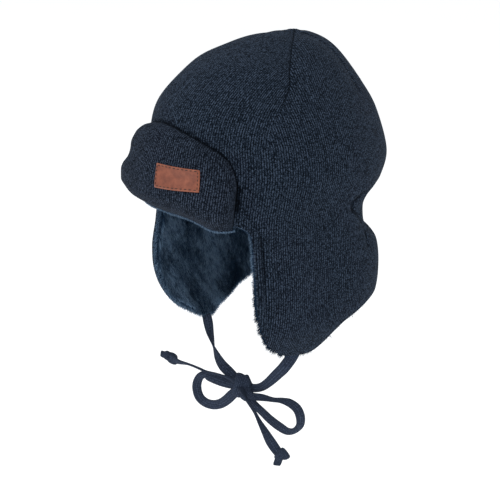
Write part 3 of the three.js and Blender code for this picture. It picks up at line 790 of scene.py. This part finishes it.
# angle from the front in degrees, height: the fold that runs round the gathered nape, along which the
# knit also takes painted shade
NAPE_CREASE = np.array([
    (124, 0.013), (117, 0.0135), (110, 0.007), (112, -0.001), (119, -0.007), (126, -0.0215),
    (124, -0.034),
])


NAPE_LINE = np.stack([np.interp(np.linspace(0, 6, 61), range(7), column)
                      for column in NAPE_CREASE.T], 1)
NAPE_LINE[:, 0] = np.radians(NAPE_LINE[:, 0]) * HEAD_WIDTH / 2
HEM_FOLD = 0.0055


def shell_detail(angle, place, points):
    """Small moves outward in metres: seam grooves, rolled hem, gathers and slack."""
    height = height_at(place)
    reach = smoothstep(height, 0.5 * CROWN_HEIGHT, 0.8 * CROWN_HEIGHT)
    move = 0.0003 * soft_waves(points, 0.05, 3)
    for away in dart_distances(angle, place):
        move = move - 0.0009 * reach * np.exp(-(away / 0.0012) ** 2)
        move = move + 0.0004 * reach * np.exp(-((np.abs(away) - 0.0035) / 0.002) ** 2)
    edge = flat_distance(angle, height, EDGE_LINE[::10])
    fold = from_front(angle)
    front = smoothstep(-height, 0.0, 0.02) * (1 - smoothstep(-height, 0.085, 0.115))
    front = front * (1 - smoothstep(fold, 66, 74)) * smoothstep(fold, 50, 54)
    move = move - 0.0012 * front * np.exp(-((edge - HEM_FOLD) / 0.0013) ** 2)
    move = move + 0.0008 * front * np.exp(-((edge - 0.0025) / 0.002) ** 2)
    crease = flat_distance(angle, height, NAPE_LINE)
    move = move - 0.0014 * np.exp(-(crease / 0.0016) ** 2)
    return move + 0.0022 * nape_gathers(angle, height)


def groove_distance(angle, place):
    """Distance in millimetres from the nearest seam, stitched fold of a flap's hem or nape crease, and
    lower in the troughs of the nape's gathers: where it is small, the knit takes painted shade.
    """
    height = height_at(place)
    reach = smoothstep(height, 0.5 * CROWN_HEIGHT, 0.85 * CROWN_HEIGHT)
    seams = [np.abs(away) * 1900 + 0.3 + 1.4 * (1 - reach) for away in dart_distances(angle, place)]
    fold = from_front(angle)
    front = smoothstep(-height, 0.0, 0.012) * (1 - smoothstep(-height, 0.03, 0.08))
    front = front * (1 - smoothstep(fold, 64, 70)) * smoothstep(fold, 50, 54)
    edge = flat_distance(angle, height, EDGE_LINE[::10])
    hem = np.abs(edge - HEM_FOLD) * 900 + 0.6 + 1.6 * (1 - front)
    gathers = 2 + 1.5 * np.minimum(nape_gathers(angle, height), 0)
    gathers = np.minimum(gathers, flat_distance(angle, height, NAPE_LINE) * 700 + 0.5)
    return np.minimum(np.minimum(*seams), np.minimum(hem, gathers))


def knit_shell():
    """Closed layer of knit: outer face, rounded lower edge and plain inner face."""
    angle, place = cloth_grid(56, 84)
    outer = cloth_point(angle, place)
    outward = normal_of(cloth_point, angle, place)
    outer = outer + outward * shell_detail(angle, place, outer)[..., None]
    count = outer.shape[1]
    beyond = past_edge(outer[-1], outward[-1])
    hem = [outer[-1] - outward[-1] * depth + beyond * past for depth, past in
           ((0.0004, 0.0006), (0.001, 0.0008), (0.0016, 0.0006))]
    inner_angle, inner_place = cloth_grid(8, 10)
    inner = cloth_point(inner_angle, inner_place)
    inner = inner - normal_of(cloth_point, inner_angle, inner_place) * KNIT_WALL
    rings = np.concatenate([outer, hem, inner[::-1]])
    top = form_point(np.zeros(1), np.zeros(1))
    points = np.vstack([rings.reshape(-1, 3), top, top - (0, 0, KNIT_WALL)])
    faces, corners = skin(len(rings), count, DOWN_FIRST)
    grid_angle = np.concatenate([angle, [angle[-1]] * 3, inner_angle[::-1]])
    grid_place = np.concatenate([place, [place[-1]] * 3, inner_place[::-1]])
    grid_angle = np.hstack([grid_angle, np.full((len(rings), 1), 360.0)])
    grid_place = np.hstack([grid_place, grid_place[:, :1]])
    seams = [np.argmin(np.abs(TOP_ANGLES - dart)) for dart in LEVEL_DARTS]
    seams += [count - seams[1], count - seams[0]]
    gore = np.searchsorted(seams, corners[0][1], side="right")
    uv = np.stack([cloth_millimetres(grid_angle[r, c], grid_place[r, c], gore)
                   for r, c in corners], 1)
    cap_uv = uv[:count, :3].reshape(-1, 2)
    made = mesh_object("knit_shell", points, faces + end_caps(len(rings), count),
                       np.vstack([uv.reshape(-1, 2), cap_uv, cap_uv]))
    # Points near seams, folds and the nape get low values, which the knit turns into painted shade.
    groove_shade = np.full(len(points), 20.0)
    groove_shade[:angle.size] = groove_distance(angle, place).ravel()
    set_attribute(made, "groove_shade", groove_shade)
    made.data.materials.append(shell_knit)
    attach(made, "root")
    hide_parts("outer_shell")
    return angle, place, made


shell_angle, shell_place, shell = knit_shell()


# Plush lining
# Short-pile navy plush, sewn to the knit along the lower edge. The pile lies
# downward, stands a little past the edge, and catches the light at its tips; the
# blades' colour paints this in, as painted light at the tips and painted shade at the roots.

plush = surface("navy_plush_pile", "#2a3b4c", 0.75, sheen=0.03, sheen_tint="#8fa6bf",
                gloss=0.12)


def finish_plush():
    """Plush: dark at the root and lighter at the tip, as painted shade in the pile and painted light
    on its tips, in brushed patches whose shade also holds painted shade in the folds' valleys and
    painted light on their ridges.
    """
    mixed = node(plush, "Math:MULTIPLY", 0.2, node(
        plush, "TexNoise", Vector=node(plush, "TexCoord", output="Object"), Scale=90))
    for name, weight in (("shade", 0.55), ("tip", 0.4)):
        part = node(plush, "Attribute", output="Fac", attribute_name=name)
        mixed = node(plush, "Math:MULTIPLY_ADD", part, weight, mixed)
    finish(plush, node(plush, "ValToRGB", mixed,
                       stops=((0.22, "#0b1a29"), (0.56, "#1f364e"), (1.0, "#8aa7c4"))))


finish_plush()

lining_angle, lining_place = cloth_grid(30, 60)
lining_plain = cloth_point(lining_angle, lining_place)
lining_out = normal_of(cloth_point, lining_angle, lining_place)


def lining_folds(angle, place):
    """Soft upright folds of the loose plush in the flaps, in metres inward."""
    height = height_at(place)
    turn = np.radians(np.mod(angle, 360)) * HEAD_WIDTH / 2
    lower = smoothstep(-height, -0.01, 0.03)
    fold = from_front(angle)
    ridges = np.exp(-((fold - 68) / 6.5) ** 2) + np.exp(-((fold - 91) / 6) ** 2)
    tuck = np.exp(-((fold - 76.5) / 3) ** 2) * smoothstep(height, -0.065, -0.035)
    waves = 0.0008 * np.sin(turn / 0.0052 + height / 0.03)
    return lower * (waves + 0.003 * ridges - 0.002 * tuck)


BACKING = 0.0032


def plush_lining():
    """Closed layer: the knit's side, a rounded lip past the edge, and the pile's ground."""
    count = lining_plain.shape[1]
    knit_angle, knit_place = cloth_grid(8, 10)
    knit_side = (cloth_point(knit_angle, knit_place)
                 - normal_of(cloth_point, knit_angle, knit_place) * LINING_TOP)
    edge, out = lining_plain[-1], lining_out[-1]
    beyond = past_edge(edge, out)
    lip = [edge - out * depth + beyond * past for depth, past in
           ((0.0028, 0.0012), (0.0038, 0.0018), (0.0048, 0.0016))]
    depth = LINING_TOP + BACKING + lining_folds(lining_angle, lining_place)
    ground = lining_plain - lining_out * depth[..., None]
    rings = np.concatenate([knit_side, lip, ground[::-1]])
    top = form_point(np.zeros(1), np.zeros(1))
    points = np.vstack([rings.reshape(-1, 3), top - (0, 0, LINING_TOP),
                        top - (0, 0, LINING_TOP + BACKING)])
    faces = skin(len(rings), count, DOWN_FIRST)[0] + end_caps(len(rings), count)
    made = mesh_object("plush_lining", points, faces)
    # The ground takes the pile's dark root tone: painted shade under the blades.
    set_attribute(made, "tip", np.full(len(points), 0.15))
    set_attribute(made, "shade", np.full(len(points), 0.4))
    made.data.materials.append(plush)
    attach(made, "root")
    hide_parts("lining")
    return ground


pile_ground = plush_lining()


def blades(name, roots, leans, lengths, widths, shades, seed):
    """Pile as tapered blades of three triangles. A blade bends from its lean a little
    further down: tip = root + length (lean + 0.25 down)."""
    chance = np.random.default_rng(seed)
    count = len(roots)
    side = unit(np.cross(leans, chance.normal(size=(count, 3))))
    drop = np.array([0, 0, -0.25])
    middle = roots + (leans + drop * 0.3) * (lengths * 0.55)[:, None]
    tips = roots + (leans + drop) * lengths[:, None]
    half = side * (widths / 2)[:, None]
    points = np.stack([roots - half, roots + half, middle + half * 0.8, middle - half * 0.8,
                       tips], 1)
    start = 5 * np.arange(count)[:, None]
    quads = start + np.array([0, 1, 2, 3])
    ends = start + np.array([3, 2, 4])
    made = mesh_object(name, points.reshape(-1, 3), quads.tolist() + ends.tolist())
    # Tip runs from dark at the root to light at the tip: painted shade down in the pile and painted
    # light on the tips.
    set_attribute(made, "tip", np.tile([0.1, 0.1, 0.55, 0.55, 1.0], count))
    set_attribute(made, "shade", np.repeat(shades, 5))
    made.data.materials.append(plush)
    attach(made, "root")


def pile_patch(name, chosen, count, seed):
    """Blades strewn evenly over the chosen faces of the lining's ground."""
    chance = np.random.default_rng(seed)
    after = np.roll(np.arange(pile_ground.shape[1]), -1)
    a, b = pile_ground[:-1], pile_ground[1:]
    c, d = pile_ground[1:][:, after], pile_ground[:-1][:, after]
    area = np.linalg.norm(np.cross(c - a, d - b), axis=2) / 2 * chosen
    picked = chance.choice(area.size, count, p=area.ravel() / area.sum())
    row, column = np.divmod(picked, area.shape[1])
    s, t = chance.random((2, count, 1))
    root = ((a[row, column] * (1 - s) + d[row, column] * s) * (1 - t)
            + (b[row, column] * (1 - s) + c[row, column] * s) * t)
    down = unit(b[row, column] - a[row, column])
    inward = -lining_out[row, column]
    swirl = soft_waves(root, 0.022, 7)[:, None]
    across = np.cross(down, inward)
    tuft = 0.6 * soft_waves(root, 0.0042, 13) + 0.7 * soft_waves(root, 0.0095, 19)
    lean = down * 0.75 + inward * 0.5 + across * swirl * 0.35
    lean = unit(lean + across * tuft[:, None] * 0.14 + chance.normal(size=(count, 3)) * 0.16)
    length = chance.uniform(0.0036, 0.0052, count) * (1 + 0.1 * tuft)
    width = chance.uniform(0.00035, 0.0006, count)
    fold = lining_folds(lining_angle, lining_place)[row, column]
    # Raised folds are lighter and the tuck darker: painted light and painted shade of the folds, on
    # top of random brushed tone.
    shade = 0.38 + 70 * fold + 0.16 * soft_waves(root, 0.03, 11) + 0.15 * tuft
    shade = np.clip(shade + chance.normal(size=count) * 0.14, 0, 1)
    blades(name, root, lean, length, width, shade, seed + 50)


middle_angle = lining_angle[:-1]
middle_height = height_at(lining_place[:-1])
low = middle_height < 0.02
pile_patch("pile_right_flap", low & (middle_angle > 245) & (middle_angle < 320), 62000, 21)
pile_patch("pile_left_flap", low & (middle_angle > 40) & (middle_angle < 115), 40000, 22)
pile_patch("pile_neck", low & (middle_angle >= 115) & (middle_angle <= 245), 50000, 23)
pile_patch("pile_crown", ~low | (middle_angle <= 40) | (middle_angle >= 320), 60000, 24)


def pile_fringe():
    """Blades along the lip, which stand past the knit's edge."""
    chance = np.random.default_rng(31)
    edge, out = lining_plain[-1], lining_out[-1]
    beyond = past_edge(edge, out)
    count = 16000
    place = chance.random(count) * len(edge)
    at = place.astype(int)
    s = (place - at)[:, None]
    after = (at + 1) % len(edge)
    depth = chance.uniform(LINING_TOP + 0.0002, LINING_TOP + 0.004, count)[:, None]
    root = edge[at] * (1 - s) + edge[after] * s - out[at] * depth
    lean = unit(beyond[at] * 0.8 + out[at] * 0.1 + chance.normal(size=(count, 3)) * 0.28)
    front = from_front(lining_angle[-1][at]) < 54
    length = chance.uniform(0.0022, 0.0042, count) * np.where(front, 0.45, 1.0)
    width = chance.uniform(0.0003, 0.0005, count)
    below = smoothstep(-height_at(lining_place[-1][at]), 0.03, 0.06) * (lining_angle[-1][at] < 180)
    length = length * (1 + 0.8 * np.clip(soft_waves(root, 0.006, 17), 0, 1) * below)
    shade = chance.uniform(0.5, 1.0, count) * (1 - 0.75 * below)
    blades("pile_fringe", root, lean, length, width, shade, 32)


pile_fringe()


# Brim
# A padded, turned-up brim of the same knit, filled with wadding and stitched to the
# front edge. Its far end is pinched in under the top edge.

BRIM_HEIGHT = 0.073
BRIM_BULGE = 0.023
BRIM_HALF_ANGLE = 45.5
BRIM_PINCH = 0.008
BRIM_SEAT = 0.0006
BRIM_SAG = 0.007

# around as a share of the half angle, top as a share of its height, bulge
BRIM_STATIONS = np.array([
    (0.0, 1.0, 1.0), (0.2, 0.985, 1.0), (0.4, 0.94, 1.0), (0.62, 0.87, 0.98),
    (0.8, 0.79, 0.9), (0.91, 0.7, 0.78), (0.97, 0.58, 0.64), (1.0, 0.42, 0.5),
])

# up as a share of its top, out as a share of its bulge
BRIM_PROFILE = np.array([
    (0.0, 0.06), (0.06, 0.32), (0.15, 0.72), (0.27, 0.97), (0.42, 0.98), (0.57, 0.86),
    (0.7, 0.74), (0.82, 0.62), (0.92, 0.48), (0.98, 0.27), (1.0, 0.05),
])


def front_point(angle, height, out):
    """Point at an angle and a height on the front, moved out by a distance."""
    place = place_at(height)
    return cloth_point(angle, place) + normal_of(cloth_point, angle, place) * out[..., None]


def rounded(table, value):
    """Second column of a table at values of the first, softened over its corners."""
    steps = np.linspace(table[0, 0], table[-1, 0], 401)
    plain = np.interp(steps, table[:, 0], table[:, 1])
    spread = np.exp(-(np.arange(-12, 13) / 6.0) ** 2)
    padded = np.pad(plain, 12, mode="reflect", reflect_type="odd")
    soft = np.convolve(padded, spread / spread.sum(), "valid")
    return np.interp(value, steps, soft)


def brim_at(angle):
    """Foot, height and fullness of the brim at an angle from the middle of the front."""
    around = np.abs(angle) / BRIM_HALF_ANGLE
    sag = BRIM_SAG * np.exp(-((angle - 38) / 11) ** 2)
    foot = FRONT_RISE * np.interp(np.abs(angle), EDGE[:, 0], EDGE[:, 2]) - sag
    height = BRIM_HEIGHT * rounded(BRIM_STATIONS[:, [0, 1]], around) + sag
    bulge = BRIM_BULGE * rounded(BRIM_STATIONS[:, [0, 2]], around)
    return foot, height, bulge


def brim_lift(angle, up):
    """How far the brim's outer face stands off the crown. Its near end is tucked in."""
    tucked = np.clip((angle / BRIM_HALF_ANGLE - 0.88) / 0.12, 0, 1)
    bulge = brim_at(angle)[2] * (0.12 + 0.88 * np.sqrt(1 - tucked ** 2))
    nip = smoothstep(-angle, 15, 35) * BRIM_PINCH * np.exp(-((up - 0.63) / 0.09) ** 2)
    return bulge * rounded(BRIM_PROFILE, up) - nip


def brim_point(angle, up, extra=0.0):
    """Point on the brim's outer face, moved out by an extra distance."""
    foot, height, _ = brim_at(angle)
    return front_point(angle, foot + up * height, BRIM_SEAT + brim_lift(angle, up) + extra)


# The brim's knit is a slightly darker, less blue copy of the shell's knit, as painted shade on the
# brim, with less sheen.
brim_knit = knit_material("navy_melange_brim_knit", "#03060c", "#121923", "#3e4858", 0.03)


def padded_brim():
    """Closed padded form: outer face by angle and height, and a flat back on the knit."""
    angles = BRIM_HALF_ANGLE * np.sin(np.linspace(-np.pi / 2, np.pi / 2, 131))
    ups = (1 - np.cos(np.linspace(0, np.pi, 61))) / 2
    angle, up = np.meshgrid(angles, ups)
    plain = brim_point(angle, up)
    slack = 0.0006 * soft_waves(plain, 0.045, 41) * np.sin(np.pi * up) ** 0.5
    face = brim_point(angle, up, slack)
    back_ups = np.linspace(1, 0, 9)[1:-1]
    back_angle, back_up = np.meshgrid(angles, back_ups)
    foot, height, _ = brim_at(back_angle)
    back = front_point(back_angle, foot + back_up * height, np.full_like(back_up, BRIM_SEAT))
    rows = np.concatenate([face, back])
    rings = rows.transpose(1, 0, 2)
    count = rings.shape[1]
    first, final = rings[0].mean(0), rings[-1].mean(0)
    points = np.vstack([rings.reshape(-1, 3), first, final])
    faces, corners = skin(len(rings), count, DOWN_FIRST[::-1])
    reach = np.cumsum(np.linalg.norm(np.diff(face, axis=0, prepend=face[:1]), axis=2), 0)
    run = np.cumsum(np.linalg.norm(np.diff(face[20], axis=0, prepend=face[20][:1]), axis=1))
    fold = np.vstack([reach, reach[-1] + np.arange(1, 8)[:, None] * 0.006]) * 1000
    uv = np.stack([np.stack([run[r] * 1000, fold[np.minimum(c, count - 1), r]], -1)
                   for r, c in corners], 1)
    cap_uv = np.tile([(0, 0), (2, 0), (2, 2)], (2 * count, 1))
    made = mesh_object("padded_brim", points, faces + end_caps(len(rings), count, flip=True),
                       np.vstack([uv.reshape(-1, 2), cap_uv]))
    # Where the face stands little off the crown, at the top edge and the tucked end, the brim takes
    # painted shade, which fades out near its foot.
    lifted = np.linalg.norm(face - brim_point(angle, up, -brim_lift(angle, up)), axis=2)
    foot, height, _ = brim_at(angle)
    sewn = 2 - 2 * smoothstep(up * height, 0.005, 0.012)
    groove_shade = np.vstack([lifted * 600 + sewn, np.zeros(back.shape[:2])]).T.ravel()
    set_attribute(made, "groove_shade", np.concatenate([groove_shade, (0, 0)]))
    made.data.materials.append(brim_knit)
    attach(made, "root")
    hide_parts("brim")


padded_brim()


def paint_shadow_beside_brim():
    """Paints shadow on the shell's cloth in the narrow gap beside the brim's top and near end, fading
    out near the brim's foot, through the mark that darkens the seams.
    """
    around = from_front(shell_angle) * np.where(shell_angle > 180, -1, 1)
    height = height_at(shell_place)
    foot, top, _ = brim_at(around)
    side = smooth_rows(SECTIONS, shell_place)[..., 3] * HEAD_WIDTH / 2
    past_end = np.radians(np.abs(around) - BRIM_HALF_ANGLE) * side
    past_top = height - foot - top
    outside = np.hypot(np.maximum(past_end, 0) * 340, np.maximum(past_top, 0) * 900)
    outside += 2 - 2 * smoothstep(height - foot, 0.006, 0.018)
    values = np.zeros(len(shell.data.vertices), np.float32)
    marks = shell.data.attributes["groove_shade"].data
    marks.foreach_get("value", values)
    values[:outside.size] = np.minimum(values[:outside.size], outside.ravel())
    marks.foreach_set("value", values)


paint_shadow_beside_brim()


def brim_fringe():
    """Pile of the lining's front edge, which shows as a light line under the brim."""
    chance = np.random.default_rng(61)
    count = 4000
    angle = chance.uniform(-BRIM_HALF_ANGLE + 2, BRIM_HALF_ANGLE + 1, count)
    root = brim_point(angle, chance.uniform(0.0, 0.02, count), -0.0008)
    lean = unit(chance.normal(size=(count, 3)) * 0.3 + (0, 0, -1))
    length = chance.uniform(0.0006, 0.002, count)
    width = chance.uniform(0.0003, 0.0005, count)
    blades("brim_fringe", root, lean, length, width, chance.uniform(0.4, 1.0, count), 62)


brim_fringe()


# Leather patch
# A bare patch of tan leather, 38 by 18.5 mm and 1.4 mm thick, sewn to the brim at
# the wearer's left with a running stitch near its ends.

PATCH_LENGTH = 0.038
PATCH_HEIGHT = 0.0185
PATCH_TILT = 0.0022
PATCH_LEAN = 0.06
PATCH_THICKNESS = 0.0014
PATCH_ANGLE = 20.8
PATCH_LEVEL = 0.0392
PATCH_GAP = 0.0006

leather = surface("tan_grained_leather", "#9a5f49", 0.55, ior=1.5)


def finish_leather():
    """Leather: fine grain, cloudy tone, rubbed lighter edges."""
    place = node(leather, "UVMap", uv_map="cloth_mm")
    clouds = node(leather, "TexNoise", Vector=place, Scale=0.16, Detail=4, Roughness=0.6)
    grain = node(leather, "TexVoronoi", Vector=place, Scale=1.6)
    wear = node(leather, "Attribute", output="Fac", attribute_name="wear")
    mixed = node(leather, "Math:MULTIPLY_ADD", wear, 0.35, clouds)
    tone = node(leather, "ValToRGB", mixed,
                stops=((0.32, "#642f1d"), (0.52, "#7b3f29"), (0.8, "#945339")))
    height = node(leather, "Math:MULTIPLY_ADD", clouds, 0.6, grain)
    finish(leather, tone, height, 0.35, 0.0003)


finish_leather()


def on_brim(angle, height):
    """Point on the brim's outer face at an angle and a height above the rim's level."""
    foot, top, _ = brim_at(angle)
    return brim_point(angle, (height - foot) / top)


def patch_frame():
    """Half angle that the patch covers and the slant of the brim's face under it."""
    angle, level = np.full(1, PATCH_ANGLE), np.full(1, PATCH_LEVEL)
    upward = (on_brim(angle, level + 0.001) - on_brim(angle, level - 0.001))[0]
    radius = np.hypot(*on_brim(angle, level)[0, :2])
    return np.degrees(PATCH_LENGTH / 2 / radius), upward[2] / np.linalg.norm(upward)


PATCH_HALF_TURN, PATCH_SLANT = patch_frame()


def patch_point(share, level, lift):
    """Point over the patch, from -1 to 1 along it and up it, lifted off the brim."""
    angle = PATCH_ANGLE + PATCH_HALF_TURN * (share - PATCH_LEAN * level)
    height = PATCH_LEVEL + PATCH_SLANT * level * PATCH_HEIGHT / 2 - PATCH_TILT * share / 2
    along = on_brim(angle + 0.5, height) - on_brim(angle - 0.5, height)
    upward = on_brim(angle, height + 0.002) - on_brim(angle, height - 0.002)
    outward = unit(np.cross(along, upward))
    return on_brim(angle, height) + outward * np.asarray(lift)[..., None]


def leather_patch():
    """Closed plate with rounded corners and a rounded edge, bent over the brim."""
    grid = np.linspace(-1, 1, 41)
    share, level = np.meshgrid(grid, np.linspace(-1, 1, 21))
    inset = np.minimum((1 - np.abs(share)) * PATCH_LENGTH / 2, (1 - np.abs(level)) * PATCH_HEIGHT / 2)
    corner_x = np.maximum(np.abs(share) - 0.95, 0) / 0.05
    corner_y = np.maximum(np.abs(level) - 0.9, 0) / 0.1
    pull = 1 - 0.006 * corner_x * corner_y
    ease = np.sqrt(np.clip(inset / 0.0007, 0, 1))
    front = patch_point(share * pull, level * pull, PATCH_GAP + PATCH_THICKNESS * (0.45 + 0.55 * ease))
    back = patch_point(share * pull, level * pull, np.full_like(share, PATCH_GAP))
    rows, columns = share.shape
    points = np.vstack([front.reshape(-1, 3), back.reshape(-1, 3)])
    shift = rows * columns
    at = np.arange(shift).reshape(rows, columns)
    quads = np.stack([at[:-1, :-1], at[:-1, 1:], at[1:, 1:], at[1:, :-1]], -1).reshape(-1, 4)
    border = np.concatenate([at[0], at[1:, -1], at[-1, -2::-1], at[-2:0:-1, 0]])
    after = np.roll(border, -1)
    rim = np.stack([border, border + shift, after + shift, after], 1)
    faces = np.vstack([quads, quads[:, ::-1] + shift, rim])
    flat = np.stack([share * PATCH_LENGTH / 2, level * PATCH_HEIGHT / 2], -1).reshape(-1, 2) * 1000
    uv = flat[faces.ravel() % shift]
    made = mesh_object("leather_patch_plate", points, faces, uv)
    wear = np.exp(-inset.ravel() / 0.0008)
    set_attribute(made, "wear", np.concatenate([wear, wear]))
    made.data.materials.append(leather)
    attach(made, "root")
    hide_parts("leather_patch")


leather_patch()

thread = surface("brown_waxed_thread", "#2e1b14", 0.6)
STITCH_INSET = 0.0015
THREAD_RADIUS = 0.00034

# place along a stitch and its thickness there, as shares
STITCH_FORM = np.array([(0, 0.35), (0.2, 0.9), (0.5, 1.0), (0.8, 0.9), (1, 0.35)])


def patch_stitches():
    """Running stitch round the patch, each a bead of thread with five six-sided rings.
    A ring's point is its centre + radius (cos t S + sin t U), U away from the patch."""
    x, y = 1 - STITCH_INSET / (PATCH_LENGTH / 2), 1 - STITCH_INSET / (PATCH_HEIGHT / 2)
    places = []
    for start, end, count in (((-x, -y), (-x, y), 5), ((x, -y), (x, y), 5),
                              ((-x, y), (x, y), 10), ((-x, -y), (x, -y), 10)):
        share = (np.arange(count)[:, None] + (0.2, 0.8)) / count
        places.append(start + np.subtract(end, start) * share[..., None])
    share, level = np.moveaxis(np.concatenate(places), -1, 0)
    ends = patch_point(share, level, np.full(share.shape, PATCH_GAP + PATCH_THICKNESS))
    above = patch_point(share[:, 0], level[:, 0], np.full(len(share), 0.01))
    up = unit(above - ends[:, 0])
    run = ends[:, 1] - ends[:, 0]
    side = np.cross(unit(run), up)
    along, size = STITCH_FORM[:, :1], STITCH_FORM[:, 1][:, None, None]
    rise = 0.00005 + 0.00012 * np.sin(np.pi * along)
    centre = ends[:, :1] + run[:, None] * along + up[:, None] * rise
    turn = np.pi / 3 * np.arange(6)[:, None]
    ring = np.cos(turn) * side[:, None, None] + np.sin(turn) * up[:, None, None]
    points = (centre[:, :, None] + THREAD_RADIUS * size * ring).reshape(-1, 3)
    bead = skin(5, 6, ALONG_FIRST)[0] + [list(range(5, -1, -1)), list(range(24, 30))]
    faces = [[base + corner for corner in face]
             for base in range(0, len(points), 30) for face in bead]
    made = mesh_object("patch_stitches", points, faces)
    made.data.materials.append(thread)
    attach(made, "root")


patch_stitches()
